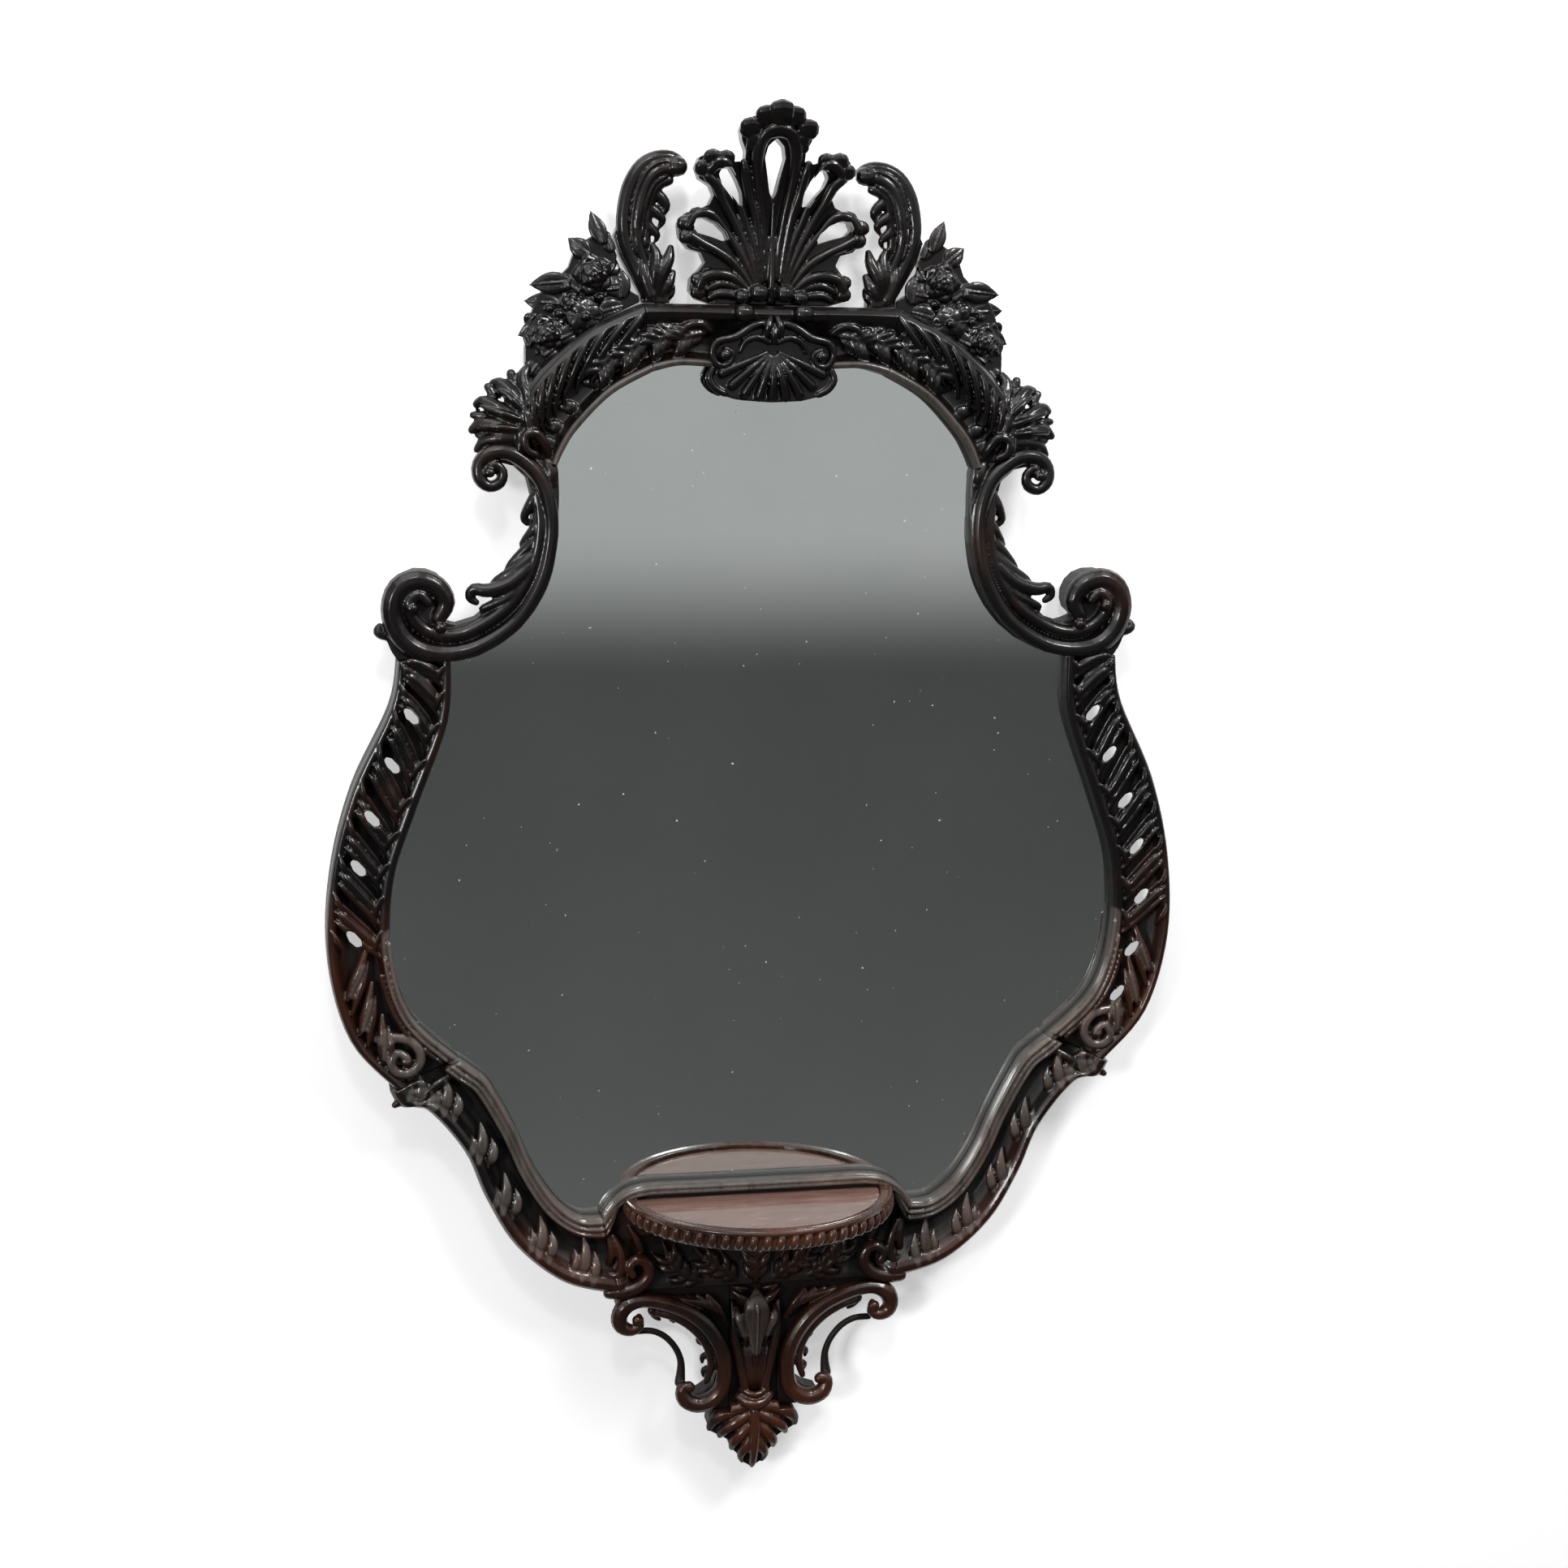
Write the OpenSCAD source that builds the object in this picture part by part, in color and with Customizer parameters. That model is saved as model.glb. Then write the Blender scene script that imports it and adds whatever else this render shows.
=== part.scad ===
// Carved rococo wall mirror with a small gadrooned shelf. Millimetres, +Z up, front towards -Y.
// The wall is the plane Y = 0 and the origin is the middle of the line between the two wall hooks.

/* [Frame] */
// Overall height, crest to drop
frame_h = 1200; // [1000:20:1400]
// Overall width at the belly of the side rails
frame_w = 746; // [640:2:860]
// Thickness of the frame boards
board_t = 26; // [24:1:30]
// Height of the carving above the boards
relief_t = 10; // [7:1:13]
// Distance from the back of the boards to the wall
wall_gap = 8; // [8:0.5:12]
// Lean of the crest shell towards the room
crest_lean = 36; // [20:2:46]

/* [Glass] */
// Thickness of the mirror glass
glass_t = 4; // [3:0.5:5]
// Thickness of the backboard
back_t = 4; // [3:0.5:5]
// Overlap of the glass behind the frame
glass_lap = 5; // [4:0.5:6]

/* [Shelf] */
// Width of the shelf along the frame
shelf_w = 244; // [200:2:246]
// Projection of the shelf from the boards
shelf_d = 112; // [80:2:130]
// Thickness of the shelf board
shelf_t = 14; // [12:1:14]
// Number of gadroons on the shelf rim
gadroons = 29; // [21:2:33]

/* [Fixings] */
// Diameter of the joint dowels
dowel_d = 8; // [6:0.5:8]
// Length of the joint dowels
dowel_l = 30; // [24:1:30]
// Wire of the hanging rings
ring_wire = 3; // [2.4:0.1:3]
// Swing of the hanging rings in the drawing, from hanging down
ring_angle = 0; // [0:5:175]

/* [Hidden] */
// The drawing below is laid out 746 wide and 1200 high, measured from the bottom tip on the centre line
kw = frame_w/746;
kh = frame_h/1200;
kd = min(kw, kh);
hang_z = 808;
hang_h = hang_z*kh;
back_y = wall_gap;
front_y = wall_gap + board_t;
top_y = front_y + relief_t;
glass_y = front_y - 10;
fit = 0.3;
wood = "#3a241a";
wood_worn = "#5a3524";
steel = "#9a9a96";

// Curves of the drawing
function at(p) = [p[0]*kw, p[1]*kh - hang_h];
function place(a) = [for (p = a) at(p)];
function unit(v) = v/norm(v);
function side(v) = [-v[1], v[0]];
function clamp(a, i) = a[min(max(i, 0), len(a) - 1)];
function blend4(a, b, c, d, t) =
  (2*b + (c - a)*t + (2*a - 5*b + 4*c - d)*t*t + (3*b - a - 3*c + d)*t*t*t)/2;
function curve(a, n) = [
  for (i = [0:len(a) - 2]) for (j = [0:n - 1])
    blend4(clamp(a, i - 1), a[i], a[i + 1], clamp(a, i + 2), j/n),
  a[len(a) - 1]];
function turned(a) = [for (i = [len(a) - 1:-1:0]) a[i]];
function flipped(a) = [for (p = a) [-p[0], p[1]]];
function tail(a) = [for (i = [1:len(a) - 1]) a[i]];
function heading(a, i) = unit(clamp(a, i + 1) - clamp(a, i - 1));
function shifted(a, d) = [for (i = [0:len(a) - 1]) a[i] + d*side(heading(a, i))];
function ring_heading(a, i) = unit(a[(i + 1)%len(a)] - a[(i + len(a) - 1)%len(a)]);
function grown(a, d) = [for (i = [0:len(a) - 1]) a[i] + d*side(ring_heading(a, i))];
function line2(a, b, n) = [for (i = [0:n]) a + (b - a)*i/n];
function across(a, b, f) = a + (b - a)*f;

// Sight edge and outer edge of the right half, from the top centre round to the bottom centre
top_in = curve(place([[0, 980], [60, 985.5], [100, 980.5]]), 2);
top_out = line2(at([0, 1036]), at([108, 1036]), 4);
arm_in = curve(place([[100, 980.5], [134, 961.5], [162, 933], [173, 916], [179, 902.9]]), 2);
arm_out = curve(place([[108, 1036], [152, 1015], [190, 983], [213, 950], [216, 915]]), 2);
c_in = curve(place([[179, 902.9], [177, 860], [182, 820], [196, 785], [225, 757], [267, 742]]), 2);
side_in = curve(place([[267, 742], [270, 690], [296, 618], [316, 556], [318, 490], [302, 437],
  [262, 398]]), 2);
side_out = curve(place([[311, 742], [318, 702], [350, 634], [369, 562], [372.5, 488], [354, 419],
  [316, 374.6]]), 2);
low_in = curve(place([[262, 398], [250, 389], [236, 375], [215, 335], [199, 298], [179, 267], [158, 251],
  [139, 250]]), 2);
low_out = curve(place([[321, 372.4], [312, 359], [290, 355], [258, 316], [240, 273], [214, 228],
  [172, 192], [124, 178]]), 2);
base_in = concat(curve(place([[139, 250], [127, 266], [104, 276.5]]), 2), place([[0, 277]]));
half_sight = concat(top_in, tail(arm_in), tail(c_in), tail(side_in), tail(low_in), tail(base_in));
sight = concat(half_sight,
  [for (i = [len(half_sight) - 2:-1:1]) [-half_sight[i][0], half_sight[i][1]]]);

// Seams between the boards, each from the glass outwards, with the dowels along it
seams = [
  [at([100, 980.5]), at([108, 1036]), [0.32, 0.56]],
  [at([179, 902.9]), at([216, 915]), [0.33]],
  [at([267, 742]), at([311, 742]), [0.44, 0.78]],
  [at([262, 398]), at([321, 372.4]), [0.36, 0.6]],
  [at([139, 250]), at([124, 178]), [0.36, 0.72]],
  [at([0, 178]), at([124, 178]), [0.48, 0.72]],
  [at([22, 178]), at([22, 60]), [0.2, 0.42]],
  [at([0, 1036]), at([108, 1036]), [0.27, 0.86]],
  [at([130, 1028]), at([172, 1000]), [0.5]]];
dowels = [for (s = seams) for (f = s[2])
  let (n = side(unit(s[1] - s[0]))) concat(across(s[0], s[1], f), [atan2(n[0], n[1])])];
dowel_y = back_y + board_t*0.5;
strap_end = dowel_y - dowel_d/2 - 1;

// A plate lying along the wall, from one depth to another
module slab(pts, back, front) {
  translate([0, -back, 0]) rotate([90, 0, 0]) linear_extrude(front - back) polygon(pts);
}

// A moulded board drawn between the sight edge and the outer edge. A point of the section is
// [part of the width, millimetres from the sight edge, height], where the height is 0 to 1 from
// the front of the board to the top of the carving, or the name of a level behind the front.
BACK = -1;
BOARD = -2;
GLASS = -3;
function depth(h, top) = h == BACK ? back_y : h == BOARD ? back_y + back_t : h == GLASS ? glass_y
  : front_y + (top - front_y)*h;
module ruled(a, b, prof, tops) {
  m = len(prof);
  pts = [for (i = [0:len(a) - 1]) for (q = prof)
    let (w = unit(b[i] - a[i]), square = max(0.6, abs(w*side(heading(a, i)))),
      p = across(a[i], b[i], q[0]) + q[1]/square*w) [p[0], -depth(q[2], tops[i]), p[1]]];
  walls = [for (i = [0:len(a) - 2]) for (j = [0:m - 1])
    [i*m + j, i*m + (j + 1)%m, (i + 1)*m + (j + 1)%m, (i + 1)*m + j]];
  ends = [[for (j = [m - 1:-1:0]) j], [for (j = [0:m - 1]) (len(a) - 1)*m + j]];
  polyhedron(pts, concat(walls, ends), convexity = 10);
}

// A carved scroll along a path of [x, z, half width, height above the back of the board]
round_prof = [[0, 0, BACK], [0, 0, 0.5], [0.25, 0, 1], [0.75, 0, 1], [1, 0, 0.5], [1, 0, BACK]];
module scroll(path) {
  p = place(path);
  w = [for (q = path) q[2]*kd];
  a = [for (i = [0:len(p) - 1]) p[i] - w[i]*side(heading(p, i))];
  b = [for (i = [0:len(p) - 1]) p[i] + w[i]*side(heading(p, i))];
  ruled(a, b, round_prof, [for (q = path) front_y + q[3]]);
}

// A tapering leaf lobe from one point of the drawing to another
module lobe(p, q, r1, r2, back, h1, h2) {
  hull() {
    stud(p, r1, back, h1);
    stud(q, r2, back + 3, h2);
  }
}

// A short round boss standing on the frame, with a smaller top
module stud(p, r, back, h) {
  c = at(p);
  translate([c[0], -back, c[1]]) rotate([90, 0, 0])
    cylinder(r1 = r*kd, r2 = r*kd*0.55, h = front_y + h - back, $fn = 7);
}

module both() {
  children();
  mirror([1, 0, 0]) children();
}

// Bores that the frame boards share
module dowel_set(d, l, sides = 32) {
  both() for (s = dowels)
    translate([s[0], -dowel_y, s[1]]) rotate([0, s[2], 0])
      cylinder(d = d, h = l, center = true, $fn = sides);
}
module bores() {
  dowel_set(dowel_d + 0.8, dowel_l, 8);
  screw_set(backboard_spots, screw_r + 0.6, back_y - 1, back_y + 13, 5);
  screw_set(bumper_spots, screw_r + 0.6, back_y - 1, back_y + 12, 5);
  screw_set(strap_spots, screw_r + 0.6, back_y - 1, strap_end, 5);
  screw_set(batten_spots, screw_r + 0.6, back_y - 1, back_y + 12, 5);
  shelf_screw_set(shelf_screw_r + 0.5, 4.6, 7, 7);
}

// Wood screws set square to the wall
screw_r = 1.6;
backboard_spots = [for (i = [0, 2, 9, 19, 25, 31, 37, 42, 49, 53]) grown(sight, glass_lap + 4.5)[i]];
bumper_spots = [across(arm_in[4], arm_out[4], 0.6), across(low_in[7], low_out[7], 0.64)];
hinge = at([297, 790]);
strap_spots = [hinge - [0, 11], hinge - [0, 30]];
batten_spots = [for (z = [1012, 1026, 1050, 1066]) at([0, z])];
module screw_set(spots, r, back, front, sides = 32) {
  for (p = spots) for (x = p[0] > 1 ? [-p[0], p[0]] : [0])
    translate([x, -back, p[1]]) rotate([90, 0, 0]) cylinder(r = r, h = front - back, $fn = sides);
}
module wood_screws(spots, shank, back, front, head_r, head_t) {
  screw_set(spots, shank, back, front);
  screw_set(spots, head_r, back - head_t, back);
}

// Sections of the boards, from the sight edge outwards and back round the two rebates
rebate = [[0, glass_lap + 8.6, BACK], [0, glass_lap + 8.6, BOARD], [0, glass_lap + 0.9, BOARD],
  [0, glass_lap + 0.9, GLASS]];
rail_prof = concat([[0, 0, GLASS], [0, 0, 0.5], [0.09, 0, 0.5], [0.15, 0, 0.12], [0.45, 0, 0.3],
  [0.66, 0, 0.5], [0.8, 0, 1], [1, 0, 0.5], [1, 0, BACK]], rebate);
reed_prof = concat([[0, 0, GLASS], [0, 0, 0.9], [0.08, 0, 0.9], [0.12, 0, 0.65], [0.17, 0, 0.9],
  [0.26, 0, 0.6], [0.3, 0, 0.12], [0.5, 0, 0.3], [0.68, 0, 0.5], [0.82, 0, 1], [1, 0, 0.5], [1, 0, BACK]],
  rebate);
lip_prof = concat([[0, 0, GLASS], [0, 0, 0.8], [0, 5, 0.8], [0, 6.5, 0.6], [0, 8, 0.8], [0, 12, 0.5],
  [0, 12, 0], [1, 0, 0], [1, 0, BACK]], rebate);
module moulding(a, b, prof = rail_prof) {
  ruled(a, b, prof, [for (p = a) top_y]);
}

// Slanting leaf strokes carved in the hollow of a rail, one to each step
module strokes(a, b, steps, lean, r) {
  for (i = steps) {
    p = across(a[i], b[i], 0.26);
    q = across(a[i + lean], b[i + lean], 0.64);
    hull() {
      stroke_end(p, r*0.7, 4.5);
      stroke_end(q, r, 8);
    }
  }
}
module stroke_end(p, r, h) {
  translate([p[0], -front_y + 2, p[1]]) rotate([90, 0, 0])
    cylinder(r1 = r*kd, r2 = r*kd*0.4, h = 2 + h*relief_t/10, $fn = 5);
}

// A board with its bores, and one that is also cut to the zone inside its seams
module board() {
  difference() {
    union() children();
    bores();
  }
}
module cut_board(zone) {
  difference() {
    intersection() {
      slab(zone, back_y, top_y + 20);
      union() children();
    }
    bores();
  }
}
function beyond(k, f) = across(seams[k][0], seams[k][1], f);

// Middle board of the arched top rail, plain where the pendant shell is planted
module top_rail_centre() {
  in = concat(turned(flipped(top_in)), tail(top_in));
  out = concat(turned(flipped(top_out)), tail(top_out));
  color(wood) board() {
    ruled(in, out, rail_prof, [for (p = in) abs(p[0]) > 70*kw ? top_y : front_y]);
    both() for (i = [0:3]) lobe([68 + 7*i, 996], [70 + 8*i, 1012], 3.5, 2.5, front_y - 1, 6, 5);
  }
}

// Curved arm of the top rail, with the leaf fan at its foot
module top_rail_arm() {
  fan = [[212, 979], [229, 968], [242, 949], [247, 932]];
  board() {
    moulding(arm_in, arm_out);
    strokes(arm_in, arm_out, [1:2:5], 1, 5);
    for (t = fan) lobe([200, 942], t, 12, 4, back_y, 2, -4);
    lobe([210, 934], [236, 930], 8, 4, back_y, 4, 0);
  }
}
module top_rail_left() { color(wood) mirror([1, 0, 0]) top_rail_arm(); }
module top_rail_right() { color(wood) top_rail_arm(); }

// Shoulder: a long C-scroll that runs from a small eye, past the glass, into the volute
c_path = [[236, 897, 4, 4], [231, 904, 3.5, 4], [224, 898, 4, 4], [226, 889, 5, 3], [235, 885.5, 5, 3],
  [243, 892, 5.5, 3], [243, 904, 6, 2], [234, 912.5, 6.5, 2], [220, 913.5, 7, 3], [206, 906, 8.5, 4],
  [194, 892, 10, 5], [188.5, 872, 10, 6], [187, 852, 9.5, 6], [189, 832, 9.5, 6], [194, 812, 10, 6],
  [203, 794, 10.5, 6], [216, 778, 11, 6], [234, 765, 11, 6], [254, 756.5, 11.5, 7], [275, 755, 12, 8],
  [293, 759, 12, 9], [305, 769, 11, 9], [309, 784, 9.5, 9], [305, 797, 9, 8], [294, 804, 9, 7],
  [282, 801, 8.5, 6], [277, 791, 6.5, 6], [283, 782, 6, 7], [293, 781, 5.5, 8], [299, 788, 5, 9]];
module shoulder() {
  n = len(c_in);
  edge = concat([c_in[0] + 9*unit(c_in[0] - c_in[1])], [for (i = [1:n - 2]) c_in[i]],
    [c_in[n - 1] + 8*unit(c_in[n - 1] - c_in[n - 2])]);
  glass_side = place([[282, 735], [240, 730], [165, 800], [155, 912]]);
  difference() {
    shoulder_block();
    slab(concat(edge, glass_side), back_y - 1, top_y + 20);
    slab(concat(shifted(edge, glass_lap + 0.9), glass_side), back_y - 1, glass_y);
    slab(concat(shifted(edge, glass_lap + 8.6), glass_side), back_y - 1, back_y + back_t);
  }
}
module shoulder_block() {
  leaf = [[[193, 880], [205, 859]], [[190, 852], [207, 836]], [[194, 838], [222, 817]],
    [[202, 815], [236, 801]], [[222, 806], [249, 799]], [[206, 806], [241, 785]]];
  cut_board([beyond(1, -0.6), beyond(1, 4), at([345, 930]), at([345, 742]), at([230, 742]), at([140, 800])]) {
    scroll(c_path);
    slab(place([[165, 885], [170, 905], [218, 921], [214, 905], [200, 885]]), back_y, front_y);
    slab(place([[262, 735], [311, 735], [311, 754], [312, 775], [270, 765], [250, 755]]),
      back_y, front_y);
    for (q = leaf) lobe(q[0], q[1], 8, 3.5, back_y + 3, 2, -5);
    lobe([292, 790], [296, 789], 20, 18, back_y, -2, -2);
    lobe([314, 765], [325, 766], 5, 3.5, back_y + 8, 0, -2);
    lobe([275, 770], [279, 772], 5, 4, front_y - 2, 7, 7);
  }
}
module shoulder_left() { color(wood) mirror([1, 0, 0]) shoulder(); }
module shoulder_right() { color(wood) shoulder(); }

// Side rail: a bowed board with slanting leaf strokes and small holes pierced between them
holes_left = [[300, 695], [316, 654], [333, 609], [345, 567], [349, 506]];
holes_right = [[294, 690], [311, 653], [328, 611], [340, 569], [347, 523], [340, 475], [328, 434]];
ear_path = [[330, 420, 5, 6], [318, 421, 5, 7], [304, 418, 5, 8], [296, 409, 5, 8], [296, 398, 5, 8],
  [304, 390, 5, 8], [315, 391, 4.5, 9], [320, 400, 4, 9], [314, 408, 3.5, 10], [307, 404, 3.5, 11]];
module side_rail(holes) {
  difference() {
    board() {
      moulding(side_in, side_out);
      strokes(side_in, side_out, [2, 5, 8], -1, 6);
      strokes(side_in, side_out, [10], 1, 6);
      intersection() {
        scroll(ear_path);
        slab(place([[280, 375], [350, 375], [350, 435], [280, 435]]), glass_y + 4, top_y + 20);
      }
    }
    for (h = holes) {
      c = at(h);
      hull() for (e = [-2.2, 2.2])
        translate([c[0] + e*kd, -back_y + 1, c[1] + e*kd]) rotate([90, 0, 0])
          cylinder(r = 4.6*kd, h = board_t + relief_t + 4, $fn = 6);
    }
  }
}
module side_rail_left() { color(wood) mirror([1, 0, 0]) side_rail(holes_left); }
module side_rail_right() { color(wood) side_rail(holes_right); }

// Lower rail: leaf strokes in the hollow, a reeded lip along the glass and a pointed ear at the top
module lower_rail() {
  board() {
    moulding(low_in, low_out, reed_prof);
    strokes(low_in, low_out, [3:2:11], 1, 6);
    for (i = [0:1]) lobe([288 + 8*i, 372], [292 + 8*i, 380 - 4*i], 4, 3, front_y - 1, 4, 3);
    lobe([290, 366], [313, 364.5], 7, 4.5, back_y, 4, 0);
  }
}
module lower_rail_left() { color(wood) mirror([1, 0, 0]) lower_rail(); }
module lower_rail_right() { color(wood) lower_rail(); }

// Bottom rail, whose flat face carries the shelf under a straight reeded lip
module bottom_rail() {
  low = concat(line2(at([124, 178]), at([90, 178]), 4), place([[0, 178]]));
  in = concat(base_in, tail(turned(flipped(base_in))));
  out = concat(low, tail(turned(flipped(low))));
  color(wood) difference() {
    board() {
      ruled(in, out, lip_prof, [for (p = in) top_y]);
      both() {
        for (i = [0:1]) lobe([98 - 26*i, 190], [82 - 26*i, 204], 8, 4, front_y - 1, 4, 2);
        for (i = [0:1]) lobe([114 - 8*i, 208], [112 - 10*i, 226 - 4*i], 6, 3, front_y - 1, 4, 2);
      }
    }
    translate([-shelf_w/2 - 0.5, -front_y - 20, rim_low - 0.5]) cube([shelf_w + 1, 20, rim_h + 1]);
  }
}

// Apron scroll: a pierced C-scroll with a thin outer strand that closes its opening
apron_path = [[106, 157, 3, 9], [105, 149, 4, 9], [112, 144.5, 5.5, 8], [121, 148, 7, 7],
  [123.5, 157, 7.5, 7], [118, 167, 8, 7], [106, 171, 7.5, 7], [92, 169.5, 8, 7], [77, 166, 9, 8],
  [62, 158.5, 9.5, 8], [48, 147, 9.5, 9], [37, 132, 9, 9], [31, 116, 9, 9], [30, 99, 8.5, 8],
  [33, 84, 8.5, 7], [41, 73.5, 8.5, 6], [53, 69, 8.5, 5], [63, 74, 8, 5], [66, 84, 6.5, 5], [60, 88, 4, 6]];
strand_path = [[106, 138, 3, -4], [93, 138, 3, -5], [81, 132, 3, -6], [71.5, 121, 3, -6],
  [66.5, 109, 3.2, -6], [66, 98, 4, -5], [67, 88, 5, -4]];
module apron_scroll() {
  serrations = [[[74, 156], [74, 148]], [[62, 148], [58, 141]], [[42, 118], [48, 112]],
    [[40, 104], [45, 101]], [[92, 160], [87, 150]]];
  cut_board(place([[22, 178], [124, 178], [140, 172], [140, 30], [22, 30]])) {
    scroll(apron_path);
    scroll(strand_path);
    slab(place([[20, 60], [20, 180], [112, 180], [112, 166], [84, 160], [60, 150], [40, 128], [34, 100],
      [44, 76], [60, 72], [56, 62], [48, 60]]), back_y, front_y - 6);
    for (q = serrations) lobe(q[0], q[1], 5, 2, back_y + 6, -2, -8);
    for (i = [0:3]) lobe([30 + 3*i, 166 - 6*i], [40 + 8*i, 174 - 4*i], 4, 3, front_y - 8, 2, 0);
  }
}
module apron_scroll_left() { color(wood) mirror([1, 0, 0]) apron_scroll(); }
module apron_scroll_right() { color(wood) apron_scroll(); }

// Drop: a ribbed tapering leaf, a ring and the leafy tip, on one narrow board
module apron_drop() {
  edge = place([[0, 0], [9, 5], [13, 12], [21, 20], [21, 26], [28, 31], [39, 37], [43, 44], [42, 53],
    [38, 60], [22, 60], [22, 178]]);
  color(wood) difference() {
    union() {
      slab(concat(edge, turned(flipped(edge))), back_y, front_y - 6);
      for (x = [-1:1]) lobe([x*11, 170], [x*5, 84], 7, 3.5, back_y + 4, 8, 6);
      lobe([-11, 70], [11, 70], 5, 5, back_y + 4, 7, 10);
      for (x = [-1:2:1]) {
        lobe([x*8, 60], [x*33, 45], 9, 7, back_y + 4, 4, -2);
        lobe([x*6, 46], [x*17, 26], 8, 5, back_y + 4, 5, -2);
        lobe([x*3, 28], [x*5, 11], 7, 4.5, back_y + 4, 5, -2);
      }
    }
    bores();
  }
}

// Crest shell: plumes that spread from the rail and lean into the room, with drop-shaped holes
function lean(z) = z < 1080 ? 0 : crest_lean*pow((z - 1080)/120, 2);
crest_steps = [1036, 1080, 1112, 1142, 1172, 1203];
module leaning_sheet(back, front) {
  line = [for (z = crest_steps) [-lean(z), at([0, z])[1]]];
  translate([-frame_w/2, 0, 0]) rotate([90, 0, 90]) linear_extrude(frame_w)
    polygon(concat([for (p = line) p - [back, 0]], [for (p = turned(line)) p - [front, 0]]));
}
module drop_hole(p, q, r) {
  hull() for (e = [[p, r*0.35], [q, r]]) {
    c = at(e[0]);
    translate([c[0], 0, c[1]]) rotate([90, 0, 0]) cylinder(r = e[1]*kd, h = 120, $fn = 14);
  }
}
module plume(a, b, r1, r2, h) {
  hull() for (e = [[a, r1], [b, r2]]) {
    c = at(e[0]);
    translate([c[0], -back_y - board_t*0.62 - lean(e[0][1]), c[1]]) rotate([90, 0, 0])
      cylinder(r1 = e[1]*kd, r2 = e[1]*0.4*kd, h = h + 4, $fn = 5);
  }
}
module crest_shell() {
  edge = place([[0, 1036], [66, 1036], [69, 1046], [68, 1059], [60, 1067], [53, 1072], [58, 1081],
    [71, 1083], [77, 1092], [78, 1104], [72, 1114], [60, 1118], [52, 1119], [49, 1126], [52, 1133],
    [62, 1138], [68, 1147], [66, 1157], [55, 1163], [43, 1160], [33, 1153], [27, 1156], [29, 1168],
    [32, 1178], [29, 1187], [21, 1190], [17, 1197], [8, 1200], [0, 1200]]);
  color(wood) difference() {
    union() {
      intersection() {
        slab(concat(edge, turned(flipped(edge))), back_y, front_y + 60);
        leaning_sheet(back_y, back_y + board_t*0.62 + 2);
      }
      both() {
        plume([12, 1048], [58, 1054], 6, 10, 8);
        plume([10, 1060], [46, 1084], 5, 6, 8);
        plume([10, 1062], [34, 1110], 4, 6, 8);
        plume([34, 1110], [66, 1108], 6, 8, 7);
        plume([8, 1064], [22, 1122], 4, 5, 8);
        plume([26, 1144], [57, 1152], 6, 9, 8);
        plume([12, 1110], [18, 1176], 6, 9, 9);
      }
      plume([0, 1172], [0, 1188], 9, 11, 11);
      plume([-2, 1047], [2, 1047], 7, 7, 12);
    }
    drop_hole([0, 1126], [0, 1163], 6.5);
    both() {
      drop_hole([27, 1120], [40, 1139], 5.5);
      drop_hole([41, 1092], [57, 1100], 6);
    }
    bores();
  }
}

// Crest scroll: a plume that curls over towards the shell, with a small leaf at its foot
crest_path = [[76, 1146, 4.5, -4], [84, 1150.5, 6.5, -2], [96, 1149, 7.5, -2], [107, 1141, 8, -2],
  [114.5, 1129, 8, -2], [118, 1114, 7.5, -2], [119.5, 1099, 8, -2], [117, 1086, 8.5, -3],
  [111, 1072, 7.5, -4], [104, 1058, 7, -4], [99, 1046, 8, -4], [96, 1028, 10, -4]];
module crest_scroll() {
  leaf = [[[104, 1122], [92, 1125]], [[110, 1108], [93, 1116]], [[94, 1052], [86, 1078]],
    [[96, 1060], [98, 1078]], [[90, 1040], [84, 1058]], [[96, 1046], [85, 1062]],
    [[104, 1066], [106, 1076]], [[100, 1041], [92, 1043]]];
  color(wood) difference() {
    intersection() {
      slab(concat(place([[70, 1036], [108, 1036], [108, 1042], [126, 1074], [134, 1092]]),
        place([[150, 1180], [60, 1180]])), back_y, front_y + 20);
      union() {
        scroll(crest_path);
        slab(place([[80, 1030], [112, 1030], [112, 1042], [132, 1074], [140, 1094], [124, 1110],
          [112, 1110], [108, 1080], [86, 1060]]), back_y, front_y - 8);
        for (q = leaf) lobe(q[0], q[1], 6, 3.5, back_y + 4, -8, -10);
      }
    }
    bores();
  }
}
module crest_scroll_left() { color(wood) mirror([1, 0, 0]) crest_scroll(); }
module crest_scroll_right() { color(wood) crest_scroll(); }

// Flower spray: two roses and pointed leaves on a thin board that follows the arm of the top rail
module rose(c, r, h) {
  for (t = [0:90:270]) lobe([c[0] + r*0.35*cos(t), c[1] + r*0.35*sin(t)],
    [c[0] + r*0.8*cos(t), c[1] + r*0.8*sin(t)], r*0.3, r*0.42, back_y + 8, h, h - 4);
  lobe(c, [c[0] + 1, c[1]], r*0.4, r*0.36, back_y + 8, h + 3, h + 3);
}
module flower_spray() {
  rail = [for (i = [0:4]) arm_out[i]];
  tips = [[[142, 1090], [148, 1109]], [[158, 1078], [166, 1087]], [[176, 1046], [199, 1048]],
    [[192, 1018], [209, 1008]]];
  color(wood) difference() {
    union() {
      slab(concat(rail, place([[204, 998], [203, 1015], [198, 1035], [196, 1046], [178, 1056], [168, 1068],
        [166, 1084], [158, 1087], [154, 1095], [146, 1099], [137, 1093], [134, 1092], [126, 1074],
        [132, 1062], [130, 1054], [108, 1042]])), back_y, front_y - 8);
      for (q = tips) lobe(q[0], q[1], 7, 1.6, back_y, -10, -16);
      rose([149, 1058], 15, 2);
      rose([186, 1008], 13, 0);
      lobe([170, 1034], [178, 1042], 9, 6, back_y + 8, -2, -6);
      lobe([128, 1044], [146, 1036], 5, 8, back_y + 8, -4, -2);
    }
    bores();
  }
}
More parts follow.
